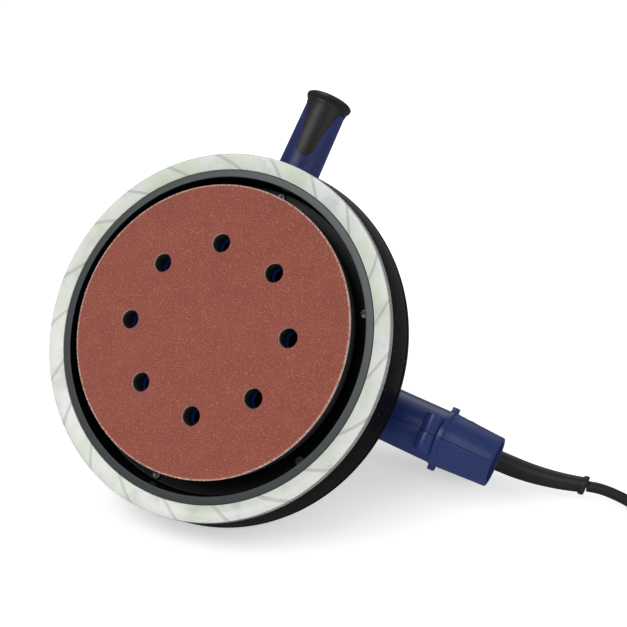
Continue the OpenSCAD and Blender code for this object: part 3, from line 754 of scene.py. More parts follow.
def new_group(
    name: str, inputs: dict[str, object], outputs: dict[str, str]
) -> tuple[bpy.types.NodeTree, Wiring, bpy.types.Node, bpy.types.Node]:
    """Starts a shader node group.

    Args:
        name: The group's name.
        inputs: Name and default of each input; None stands for a vector, a triple for a colour.
        outputs: Name and kind of each output, "Float" or "Color".

    Returns:
        The group, its wiring, its input node and its output node.
    """
    tree = bpy.data.node_groups.new(name, "ShaderNodeTree")
    for key, default in inputs.items():
        kind = "Vector" if default is None else "Color" if isinstance(default, tuple) else "Float"
        socket = tree.interface.new_socket(key, in_out="INPUT", socket_type=f"NodeSocket{kind}")
        if default is not None:
            socket.default_value = (*default, 1.0) if isinstance(default, tuple) else default
    for key, kind in outputs.items():
        tree.interface.new_socket(key, in_out="OUTPUT", socket_type=f"NodeSocket{kind}")
    wiring = Wiring(tree)
    return tree, wiring, wiring.add("NodeGroupInput"), wiring.add("NodeGroupOutput")


class Effects:
    """The node groups that several finishes share, each built once."""

    def __init__(self) -> None:
        """Builds every group."""
        self.polar = self._polar()
        self.grain = self._grain()
        self.marks = self._marks()
        self.dust = self._dust()
        self.turning = self._turning()

    @staticmethod
    def _polar() -> bpy.types.NodeTree:
        """Radius, turn and height of a place round the spindle, in millimetres and turns."""
        tree, w, given, result = new_group(
            "Place round the spindle",
            {"Place": None},
            {"Radius": "Float", "Turn": "Float", "Height": "Float"},
        )
        parts = w.add("ShaderNodeSeparateXYZ", {0: given.outputs["Place"]})
        x, y, z = parts.outputs
        squares = w.plus(w.times(x, x), w.times(y, y))
        turn = w.math("DIVIDE", w.math("ARCTAN2", y, x), 2 * math.pi)
        w.tree.links.new(w.math("SQRT", squares), result.inputs["Radius"])
        w.tree.links.new(w.plus(turn, 0.5), result.inputs["Turn"])
        w.tree.links.new(z, result.inputs["Height"])
        return tree

    @staticmethod
    def _grain() -> bpy.types.NodeTree:
        """Fine moulded or cast grain."""
        tree, w, given, result = new_group(
            "Moulded grain", {"Place": None, "Fineness": 2.0}, {"Height": "Float", "Shade": "Float"}
        )
        place, fine = given.outputs["Place"], given.outputs["Fineness"]
        cells = w.add("ShaderNodeTexVoronoi", {"Vector": place, "Scale": fine})
        speck = w.add("ShaderNodeTexNoise", {"Vector": place, "Scale": fine, "Detail": 4.0})
        cloud = w.noise(place, 0.045, 3.0)
        height = w.plus(w.times(cells.outputs[0], 0.6), w.times(speck.outputs[0], 0.5))
        w.tree.links.new(height, result.inputs["Height"])
        shade = w.plus(w.times(speck.outputs[0], 0.45), w.times(cloud, 0.55))
        w.tree.links.new(shade, result.inputs["Shade"])
        return tree

    @staticmethod
    def _marks() -> bpy.types.NodeTree:
        """Scratches and smudges from handling."""
        tree, w, given, result = new_group(
            "Handling marks",
            {"Place": None, "Amount": 0.5, "Colour": (0.1, 0.1, 0.1), "Mark": (0.4, 0.4, 0.4)},
            {"Colour": "Color", "Smudge": "Float"},
        )
        place = given.outputs["Place"]
        lean = w.add(
            "ShaderNodeMapping",
            {"Vector": place, "Rotation": (0.6, 0.4, 0.9), "Scale": (1.0, 0.06, 0.35)},
        )
        threads = w.ramp(w.noise(lean.outputs[0], 1.1, 5.0, 0.75), 0.66, 0.74)
        patches = w.ramp(w.noise(place, 0.05, 2.0), 0.45, 0.7)
        share = w.times(w.times(threads, patches), given.outputs["Amount"])
        marked = w.mix(share, given.outputs["Colour"], given.outputs["Mark"])
        w.tree.links.new(marked, result.inputs["Colour"])
        smudge = w.plus(w.times(w.noise(place, 0.09, 4.0), 0.8), w.times(threads, 0.3))
        w.tree.links.new(smudge, result.inputs["Smudge"])
        return tree

    @staticmethod
    def _dust() -> bpy.types.NodeTree:
        """Tiny specks of sanding dust."""
        tree, w, given, result = new_group(
            "Dust specks", {"Place": None, "Amount": 0.5}, {"Speck": "Float"}
        )
        place = given.outputs["Place"]
        dots = w.cells(place, 0.55)
        small = w.rest(w.ramp(dots, 0.05, 0.11))
        some = w.ramp(w.cells(place, 0.55, "Color"), 0.62, 0.68)
        share = w.times(w.times(small, some), given.outputs["Amount"])
        w.tree.links.new(share, result.inputs["Speck"])
        return tree

    @staticmethod
    def _turning() -> bpy.types.NodeTree:
        """Fine rings left by turning or brushing round the spindle."""
        tree, w, given, result = new_group(
            "Turned rings",
            {"Radius": 1.0, "Turn": 0.0, "Height": 0.0, "Fineness": 6.0},
            {"Ring": "Float"},
        )
        along = w.times(given.outputs["Turn"], 14.0)
        across = w.times(given.outputs["Radius"], given.outputs["Fineness"])
        up = w.times(given.outputs["Height"], given.outputs["Fineness"])
        place = w.add("ShaderNodeCombineXYZ", {0: across, 1: along, 2: up})
        w.tree.links.new(w.noise(place.outputs[0], 1.0, 4.0, 0.65), result.inputs["Ring"])
        return tree


EFFECTS = Effects()


@dataclass(frozen=True)
class Finish:
    """What every finish has: its name, main colour and gloss."""

    name: str
    colour: Colour
    roughness: float = 0.5

    def shade(self, share: float) -> Colour:
        """The finish's own colour, darker or lighter."""
        return tuple(min(1.0, c * share) for c in self.colour)

    def start(self, from_pad: bool = False) -> tuple[Material, Wiring, bpy.types.Node, Socket]:
        """Starts the material.

        Args:
            from_pad: Whether the pattern is centred on the pad's own axis.

        Returns:
            The material, its wiring, its shader and the place in the head's frame in millimetres.
        """
        material = bpy.data.materials.new(self.name)
        material.use_nodes = True
        w = Wiring(material.node_tree)
        shader = material.node_tree.nodes["Principled BSDF"]
        shader.inputs["Roughness"].default_value = self.roughness
        shader.inputs["Base Color"].default_value = (*self.colour, 1.0)
        material.diffuse_color = (*self.colour, 1.0)
        origin = HEAD.at(0, -ORBIT_OFFSET if from_pad else 0, 0)
        coords = w.add("ShaderNodeTexCoord")
        mapping = w.add(
            "ShaderNodeMapping",
            {
                "Vector": coords.outputs["Object"],
                "Location": origin,
                "Rotation": HEAD.matrix.to_euler(),
            },
            vector_type="TEXTURE",
        )
        scale = w.add("ShaderNodeVectorMath", {0: mapping.outputs[0], 3: 1 / MM}, operation="SCALE")
        return material, w, shader, scale.outputs[0]

    def bump(
        self,
        w: Wiring,
        shader: bpy.types.Node,
        height: Socket,
        depth: float,
        strength: float = 1.0,
    ) -> None:
        """Feeds a bump to the shader.

        Args:
            w: The material's wiring.
            shader: Its shader.
            height: The height from 0 to 1.
            depth: What a height of 1 stands for, in millimetres.
            strength: The bump's strength.
        """
        values = {"Height": height, "Distance": depth * MM, "Strength": strength}
        node = w.add("ShaderNodeBump", values)
        w.feed(node.outputs[0], shader, "Normal")


@dataclass(frozen=True)
class Moulded(Finish):
    """Moulded plastic or rubber: grain, cloudy colour, handling marks and dust."""

    grain: float = 2.2
    depth: float = 0.03
    mark: Colour = (0.35, 0.35, 0.37)
    marks: float = 0.35
    dust: float = 0.3
    coat: float = 0.0
    gloss: float = 0.5
    variation: float = 0.25

    def material(self) -> Material:
        """Builds the material."""
        material, w, shader, place = self.start()
        grain = w.group(EFFECTS.grain, {"Place": place, "Fineness": self.grain})
        dark = self.shade(1 - self.variation)
        light = tuple(min(1.0, c * (1 + self.variation)) for c in self.colour)
        base = w.mix(grain.outputs["Shade"], dark, light)
        marks = w.group(
            EFFECTS.marks,
            {"Place": place, "Amount": self.marks, "Colour": base, "Mark": (*self.mark, 1)},
        )
        dust = w.group(EFFECTS.dust, {"Place": place, "Amount": self.dust})
        colour = w.mix(dust.outputs["Speck"], marks.outputs["Colour"], (0.75, 0.74, 0.72))
        w.feed(colour, shader, "Base Color")
        rough = w.span(marks.outputs["Smudge"], self.roughness * 0.82, min(1.0, self.roughness * 1.22))
        w.feed(rough, shader, "Roughness")
        shader.inputs["Specular IOR Level"].default_value = self.gloss
        shader.inputs["Coat Weight"].default_value = self.coat
        shader.inputs["Coat Roughness"].default_value = 0.08
        self.bump(w, shader, grain.outputs["Height"], self.depth)
        return material


@dataclass(frozen=True)
class Grit(Finish):
    """Coated abrasive: mottled red-brown grains, with painted glints on their bright facets."""

    # Colour of the painted glints on the grain facets.
    glint: Colour = (0.95, 0.5, 0.2)
    facet_scale: float = 2.1
    # Radii over which the painted edge highlight along the rim fades in.
    painted_rim_highlight: tuple[float, float] = (88.7, 89.5)

    def material(self) -> Material:
        """Builds the material."""
        material, w, shader, place = self.start(from_pad=True)
        grains = w.noise(place, 1.5, 4.0, 0.75)
        clouds = w.noise(place, 0.06, 4.0)
        fine = w.cells(place, 2.4)
        dark = self.shade(0.55)
        light = self.shade(1.42)
        base = w.mix(w.ramp(grains, 0.32, 0.68), dark, light)
        warm = tuple(c * k for c, k in zip(self.colour, (1.12, 1.08, 1.1)))
        base = w.mix(w.times(w.ramp(clouds, 0.4, 0.62), 0.55), base, warm)
        facets = w.cells(place, self.facet_scale, "Color")
        parts = w.add("ShaderNodeSeparateColor", {0: facets})
        middles = w.rest(w.ramp(w.cells(place, self.facet_scale), 0.2, 0.45))
        # Painted glints: a pale colour on the grain facets stands in for their highlights; the lower
        # roughness there is real.
        glints = w.times(w.ramp(parts.outputs[0], 0.72, 0.95), middles)
        pale = w.mix(parts.outputs[1], self.glint, (0.9, 0.6, 0.32))
        colour = w.mix(w.times(glints, 0.6), base, pale)
        radius = w.group(EFFECTS.polar, {"Place": place}).outputs["Radius"]
        # Painted edge highlight: a pale ragged ring painted on the grit face along the rim.
        ragged = w.ramp(w.noise(place, 0.9, 4.0, 0.8), 0.4, 0.6)
        painted_rim_highlight = w.times(w.ramp(radius, *self.painted_rim_highlight), ragged)
        colour = w.mix(w.times(painted_rim_highlight, 0.7), colour, (0.72, 0.62, 0.52))
        w.feed(colour, shader, "Base Color")
        rough = w.span(glints, self.roughness, 0.3)
        w.feed(rough, shader, "Roughness")
        height = w.plus(w.times(grains, 0.7), w.times(fine, 0.5))
        self.bump(w, shader, height, 0.16, 0.8)
        return material


@dataclass(frozen=True)
class PaperEdge(Finish):
    """The cut edge of the sheet: pale fibres with some grit."""

    def material(self) -> Material:
        """Builds the material."""
        material, w, shader, place = self.start()
        fibres = w.noise(place, 3.0, 5.0, 0.8)
        rust = tuple(c * k for c, k in zip(self.colour, (0.75, 0.4, 0.33)))
        w.feed(w.mix(w.ramp(fibres, 0.5, 0.72), self.colour, rust), shader, "Base Color")
        self.bump(w, shader, fibres, 0.12)
        return material


@dataclass(frozen=True)
class Pearl(Finish):
    """Translucent light guide: clouded white with pairs of thin slanting lines."""

    pairs: float = 21.0

    def material(self) -> Material:
        """Builds the material."""
        material, w, shader, place = self.start()
        polar = w.group(EFFECTS.polar, {"Place": place})
        radius, turn, height = (polar.outputs[k] for k in ("Radius", "Turn", "Height"))
        green = w.ramp(w.noise(place, 0.035, 3.0), 0.42, 0.66)
        lilac = w.ramp(w.noise(place, 0.055, 5.0, 0.6), 0.5, 0.7)
        base = w.mix(w.times(green, 0.7), self.colour, (0.56, 0.63, 0.47))
        base = w.mix(w.times(lilac, 0.55), base, (0.46, 0.45, 0.52))
        sway = w.noise(place, 0.012, 1.0)
        across = w.times(w.math("SUBTRACT", radius, 107.0), 0.042)
        wave = w.plus(w.times(turn, self.pairs), w.plus(across, w.times(sway, 0.9)))
        cycle = w.math("FRACT", wave)
        lines = []
        for middle, width in ((0.475, 0.016), (0.525, 0.012)):
            off = w.math("ABSOLUTE", w.math("SUBTRACT", cycle, middle))
            lines.append(w.rest(w.ramp(off, width * 0.3, width * 1.3)))
        broken = w.span(w.noise(place, 0.1, 3.0), 0.3, 1.0)
        line = w.times(w.math("MAXIMUM", *lines), broken)
        base = w.mix(w.times(line, 0.8), base, (0.22, 0.21, 0.22))
        between = w.times(w.ramp(cycle, 0.43, 0.475), w.rest(w.ramp(cycle, 0.525, 0.57)))
        base = w.mix(w.times(between, 0.35), base, (0.4, 0.4, 0.43))
        # Painted shade: the ring's outer wall among the ribs is darkened.
        band = w.times(w.ramp(radius, 112.3, 112.75), w.ramp(height, 3.9, 4.5))
        base = w.mix(w.times(band, 0.72), base, (0.16, 0.17, 0.17))
        w.feed(base, shader, "Base Color")
        cloud = w.noise(place, 0.3, 3.0)
        w.feed(w.span(cloud, self.roughness * 0.7, self.roughness * 1.5), shader, "Roughness")
        shader.inputs["Subsurface Weight"].default_value = 0.12
        shader.inputs["Subsurface Scale"].default_value = 0.002
        shader.inputs["Coat Weight"].default_value = 0.35
        shader.inputs["Coat Roughness"].default_value = 0.1
        self.bump(w, shader, w.noise(place, 0.5, 2.0), 0.05)
        return material


@dataclass(frozen=True)
class RibEdge(Finish):
    """The light ring's ribs: the same white, painted grey for the shade between them, with patches that
    are partly dirt and partly painted shade.
    """

    def material(self) -> Material:
        """Builds the material."""
        material, w, shader, place = self.start()
        cloud = w.ramp(w.noise(place, 0.06, 4.0), 0.35, 0.65)
        # Dark patches: partly dirt, partly painted shade between the ribs.
        dirt_and_shade = w.ramp(w.noise(place, 0.8, 4.0), 0.45, 0.7)
        # Painted shade: the ribs' own colour is a grey standing in for the shade between them.
        base = w.mix(cloud, self.colour, self.shade(0.62))
        base = w.mix(w.times(dirt_and_shade, 0.5), base, (0.08, 0.08, 0.08))
        w.feed(base, shader, "Base Color")
        w.feed(w.span(dirt_and_shade, 0.25, 0.5), shader, "Roughness")
        self.bump(w, shader, dirt_and_shade, 0.03)
        return material


@dataclass(frozen=True)
class Satin(Finish):
    """Satin ring, lightly brushed round the spindle, and painted black for the shade down in the well
    behind its face.
    """

    metallic: float = 0.35
    fineness: float = 5.0
    # Heights over which the painted shade of the well fades in.
    well: tuple[float, float] = (5.9, 6.6)

    def material(self) -> Material:
        """Builds the material."""
        material, w, shader, place = self.start()
        polar = w.group(EFFECTS.polar, {"Place": place})
        ring = w.group(
            EFFECTS.turning,
            {
                "Radius": polar.outputs["Radius"],
                "Turn": polar.outputs["Turn"],
                "Height": polar.outputs["Height"],
                "Fineness": self.fineness,
            },
        ).outputs["Ring"]
        base = w.mix(ring, self.shade(0.75), self.shade(1.3))
        dust = w.group(EFFECTS.dust, {"Place": place, "Amount": 0.35})
        base = w.mix(dust.outputs["Speck"], base, (0.7, 0.7, 0.68))
        # Painted shade: black from these heights up, for the shade down in the well behind the lip's
        # face.
        base = w.mix(w.ramp(polar.outputs["Height"], *self.well), base, (0.004, 0.004, 0.0045))
        shader.inputs["Specular IOR Level"].default_value = 0.25
        w.feed(base, shader, "Base Color")
        w.feed(w.span(ring, self.roughness * 0.75, self.roughness * 1.3), shader, "Roughness")
        shader.inputs["Metallic"].default_value = self.metallic
        self.bump(w, shader, ring, 0.02)
        return material


class Working(Enum):
    """How a metal part was made, which sets its surface."""

    TURNED = "turned"
    CAST = "cast"
    LAMINATED = "laminated"
    WOUND = "wound"


@dataclass(frozen=True)
class Metal(Finish):
    """Bare metal with the marks of its making and some tarnish."""

    working: Working = Working.TURNED
    tarnish: Colour = (0.12, 0.11, 0.1)
    tarnished: float = 0.3

    def material(self) -> Material:
        """Builds the material."""
        material, w, shader, place = self.start()
        polar = w.group(EFFECTS.polar, {"Place": place})
        radius, turn, height = (polar.outputs[k] for k in ("Radius", "Turn", "Height"))
        depth = 0.02
        if self.working is Working.CAST:
            relief = w.group(EFFECTS.grain, {"Place": place, "Fineness": 1.6}).outputs["Height"]
            depth = 0.06
        elif self.working is Working.LAMINATED:
            relief = w.math("PINGPONG", height, 0.5)
            depth = 0.08
        elif self.working is Working.WOUND:
            strand = w.plus(radius, w.times(height, 0.9))
            relief = w.math("PINGPONG", w.plus(strand, w.times(turn, 1.0)), 0.45)
            depth = 0.18
        else:
            relief = w.group(
                EFFECTS.turning, {"Radius": radius, "Turn": turn, "Height": height, "Fineness": 7.0}
            ).outputs["Ring"]
        stain = w.ramp(w.noise(place, 0.12, 5.0, 0.65), 0.42, 0.72)
        base = w.mix(relief, self.shade(0.8), self.shade(1.15))
        base = w.mix(w.times(stain, self.tarnished), base, self.tarnish)
        w.feed(base, shader, "Base Color")
        w.feed(w.span(stain, self.roughness * 0.8, self.roughness * 1.5), shader, "Roughness")
        shader.inputs["Metallic"].default_value = 1.0
        self.bump(w, shader, relief, depth)
        return material


@dataclass(frozen=True)
class Foam(Finish):
    """Closed-cell foam with open cells at the cut face."""

    cell: float = 1.3

    def material(self) -> Material:
        """Builds the material."""
        material, w, shader, place = self.start(from_pad=True)
        cells = w.cells(place, self.cell)
        small = w.cells(place, self.cell * 2.7)
        pits = w.plus(w.times(cells, 0.7), w.times(small, 0.4))
        base = w.mix(w.ramp(cells, 0.1, 0.6), self.shade(0.4), self.shade(1.5))
        w.feed(base, shader, "Base Color")
        w.feed(w.span(small, self.roughness * 0.9, 1.0), shader, "Roughness")
        self.bump(w, shader, pits, 0.25)
        return material


@dataclass(frozen=True)
class HookCloth(Finish):
    """Short hooks in rows on a woven backing."""

    def material(self) -> Material:
        """Builds the material."""
        material, w, shader, place = self.start(from_pad=True)
        parts = w.add("ShaderNodeSeparateXYZ", {0: place})
        rows = w.math("PINGPONG", w.plus(parts.outputs[0], w.times(w.noise(place, 1.2), 0.4)), 0.6)
        hooks = w.math("PINGPONG", parts.outputs[1], 0.45)
        relief = w.times(rows, hooks)
        base = w.mix(w.ramp(relief, 0.0, 0.22), self.shade(0.5), self.shade(1.6))
        w.feed(base, shader, "Base Color")
        w.feed(w.span(w.noise(place, 1.5), 0.75, 1.0), shader, "Roughness")
        shader.inputs["Sheen Weight"].default_value = 0.25
        self.bump(w, shader, relief, 0.5)
        return material


@dataclass(frozen=True)
class Printed(Finish):
    """Circuit board: solder mask with tracks."""

    track: Colour = (0.82, 0.84, 0.8)

    def material(self) -> Material:
        """Builds the material."""
        material, w, shader, place = self.start()
        polar = w.group(EFFECTS.polar, {"Place": place})
        lanes = w.math("PINGPONG", polar.outputs["Radius"], 1.1)
        gaps = w.ramp(w.math("PINGPONG", w.times(polar.outputs["Turn"], 36.0), 0.5), 0.05, 0.09)
        tracks = w.times(w.ramp(lanes, 0.5, 0.6), gaps)
        w.feed(w.mix(tracks, self.colour, self.track), shader, "Base Color")
        w.feed(w.span(w.noise(place, 1.0), 0.25, 0.45), shader, "Roughness")
        self.bump(w, shader, tracks, 0.04)
        return material


@dataclass(frozen=True)
class Phosphor(Finish):
    """Lamp chip: soft yellow phosphor, speckled."""

    def material(self) -> Material:
        """Builds the material."""
        material, w, shader, place = self.start()
        speck = w.noise(place, 5.0, 3.0)
        w.feed(w.mix(speck, self.shade(0.7), (0.98, 0.92, 0.6)), shader, "Base Color")
        w.feed(w.span(speck, 0.3, 0.6), shader, "Roughness")
        self.bump(w, shader, speck, 0.03)
        return material


class Paints:
    """Every finish of the tool, each made into a material once."""

    def __init__(self) -> None:
        """Builds the materials."""
        black = (0.012, 0.012, 0.013)
        self.abrasive = Grit("abrasive grit", (0.268, 0.066, 0.045), 0.85).material()
        self.paper = PaperEdge("sheet edge", (0.62, 0.5, 0.4), 0.9).material()
        self.hook = HookCloth("hook cloth", (0.05, 0.05, 0.055), 0.9).material()
        self.foam = Foam("foam", (0.022, 0.022, 0.024), 0.85).material()
        self.blue_plate = Moulded(
            "backing plate blue", (0.04, 0.2, 0.95), 0.35, grain=1.5, depth=0.02, marks=0.2
        ).material()
        self.drum = Moulded(
            "drum gloss black",
            (0.004, 0.004, 0.0045),
            0.22,
            grain=0.5,
            depth=0.012,
            mark=(0.12, 0.12, 0.12),
            marks=0.15,
            dust=0.6,
            gloss=0.06,
        ).material()
        self.lip = Satin("satin lip", (0.07, 0.077, 0.079), 0.32).material()
        self.pearl = Pearl("light guide", (0.7, 0.72, 0.68), 0.2).material()
        # The ribs' grey is painted shade on the light guide's white.
        self.rib = RibEdge("light guide ribs", (0.3, 0.31, 0.3), 0.3).material()
        self.board = Printed("lamp board", (0.72, 0.73, 0.68), 0.35).material()
        self.lamp = Phosphor("lamp phosphor", (0.85, 0.68, 0.22), 0.4).material()
        self.navy_duct = Moulded(
            "navy duct plastic",
            (0.016, 0.032, 0.135),
            0.3,
            grain=1.4,
            depth=0.05,
            mark=(0.3, 0.33, 0.42),
            marks=0.5,
            dust=0.35,
            variation=0.22,
        ).material()
        self.navy = Moulded(
            "navy housing plastic",
            (0.01, 0.02, 0.125),
            0.4,
            grain=2.6,
            depth=0.05,
            mark=(0.2, 0.22, 0.32),
            marks=0.35,
            dust=0.3,
        ).material()
        self.grip = Moulded(
            "soft grip",
            (0.014, 0.013, 0.012),
            0.42,
            grain=1.8,
            depth=0.07,
            mark=(0.08, 0.08, 0.08),
            marks=0.35,
            dust=0.5,
            variation=0.35,
        ).material()
        self.black = Moulded(
            "black plastic", black, 0.45, grain=2.4, depth=0.05, mark=(0.1, 0.1, 0.1), marks=0.35
        ).material()
        self.rubber = Moulded(
            "cord rubber",
            (0.014, 0.014, 0.014),
            0.46,
            grain=1.2,
            depth=0.05,
            mark=(0.09, 0.09, 0.09),
            marks=0.3,
            dust=0.35,
        ).material()
        self.red = Moulded(
            "control red",
            (0.42, 0.03, 0.018),
            0.38,
            grain=2.0,
            depth=0.03,
            mark=(0.6, 0.3, 0.25),
            marks=0.3,
        ).material()
        self.grey = Moulded(
            "rocker grey",
            (0.45, 0.47, 0.49),
            0.4,
            grain=2.0,
            depth=0.02,
            mark=(0.2, 0.2, 0.2),
            marks=0.25,
        ).material()
        self.steel = Metal("turned steel", (0.56, 0.56, 0.57), 0.26).material()
        self.screw = Metal(
            "blackened screw steel", (0.16, 0.16, 0.17), 0.38, tarnish=(0.3, 0.28, 0.25)
        ).material()
        self.alloy = Metal("cast alloy", (0.66, 0.66, 0.67), 0.4, working=Working.CAST).material()
        self.iron = Metal(
            "laminated iron", (0.3, 0.3, 0.31), 0.45, working=Working.LAMINATED
        ).material()
        self.copper = Metal(
            "enamelled copper",
            (0.72, 0.34, 0.13),
            0.3,
            working=Working.WOUND,
            tarnish=(0.25, 0.08, 0.03),
        ).material()
        self.brass = Metal("stamped brass", (0.75, 0.56, 0.25), 0.3, working=Working.CAST).material()
        self.carbon = Moulded("carbon", (0.025, 0.025, 0.026), 0.6, grain=4.0, depth=0.02).material()


PAINTS = Paints()


# ---------------------------------------------------------------- sub-assemblies


@dataclass
class Studio:
    """Floor, soft lights and camera."""

    camera_at: tuple[float, float, float] = (-0.00370, -0.50212, 0.34261)
    look_down: float = 25.0
    lens: float = 48.98
    floor_size: float = 14.0
    floor_colour: Colour = (0.93, 0.93, 0.925)
    mirrored_floor: Colour = (0.2, 0.2, 0.2)
    floor_glow: float = 0.46

    def build(self) -> None:
        """Sets the whole studio up."""
        self._camera()
        self._floor()
        self._sky()
        self._lamp("key", (-0.75, -0.75, 1.35), (0.0, 0.0, 0.06), 0.9, 8.0)
        self._lamp("fill", (1.3, -0.9, 0.9), (0.05, 0.0, 0.05), 1.1, 2.5)
        self._lamp("back", (0.3, 1.5, 1.1), (0.0, 0.0, 0.08), 1.2, 5.0)

    def _camera(self) -> None:
        """Stands the camera in front of the pad, a little above it."""
        data = bpy.data.cameras.new("camera")
        data.lens = self.lens
        data.sensor_width = 36.0
        data.clip_start = 0.01
        camera = bpy.data.objects.new("camera", data)
        bpy.context.scene.collection.objects.link(camera)
        camera.location = self.camera_at
        camera.rotation_euler = (math.radians(90 - self.look_down), 0, 0)
        bpy.context.scene.camera = camera

    def _floor(self) -> None:
        """Lays a plain pale floor."""
        clear_choice()
        bpy.ops.mesh.primitive_grid_add(
            x_subdivisions=2, y_subdivisions=2, size=self.floor_size, location=(0, 0, 0)
        )
        floor = named("floor")
        moved(floor, Matrix.Translation((0, 0, -0.0002)))
        material = bpy.data.materials.new("floor")
        material.use_nodes = True
        shader = material.node_tree.nodes["Principled BSDF"]
        w = Wiring(material.node_tree)
        mirrored = w.add("ShaderNodeLightPath").outputs["Is Glossy Ray"]
        shade = w.mix(mirrored, self.floor_colour, self.mirrored_floor)
        w.feed(shade, shader, "Base Color")
        shader.inputs["Roughness"].default_value = 0.85
        shader.inputs["Specular IOR Level"].default_value = 0.15
        shader.inputs["Emission Color"].default_value = (1, 1, 1, 1)
        glow = w.times(w.rest(mirrored), self.floor_glow)
        w.feed(glow, shader, "Emission Strength")
        floor.data.materials.append(material)

    @staticmethod
    def _sky() -> None:
        """Surrounds the scene with even white light, dimmer where it is mirrored."""
        world = bpy.data.worlds.new("studio")
        bpy.context.scene.world = world
        world.use_nodes = True
        w = Wiring(world.node_tree)
        light = w.add("ShaderNodeLightPath")
        dimmed = w.math("SUBTRACT", 0.62, w.times(light.outputs["Is Glossy Ray"], 0.44))
        bright = w.math("MAXIMUM", dimmed, light.outputs["Is Camera Ray"])
        w.tree.links.new(bright, world.node_tree.nodes["Background"].inputs["Strength"])
        world.node_tree.nodes["Background"].inputs["Color"].default_value = (1, 1, 1, 1)
        bpy.context.scene.view_settings.view_transform = "Standard"

    @staticmethod
    def _lamp(name: str, at: Point, aim: Point, size: float, power: float) -> None:
        """Hangs one soft square lamp.

        Args:
            name: Its name.
            at: Its place in metres.
            aim: The place that it points at.
            size: Its side in metres.
            power: Its power in watts.
        """
        data = bpy.data.lights.new(name, "AREA")
        data.shape = "SQUARE"
        data.size = size
        data.energy = power
        lamp = bpy.data.objects.new(name, data)
        bpy.context.scene.collection.objects.link(lamp)
        lamp.location = at
        lamp.rotation_euler = (Vector(aim) - Vector(at)).to_track_quat("-Z", "Y").to_euler()


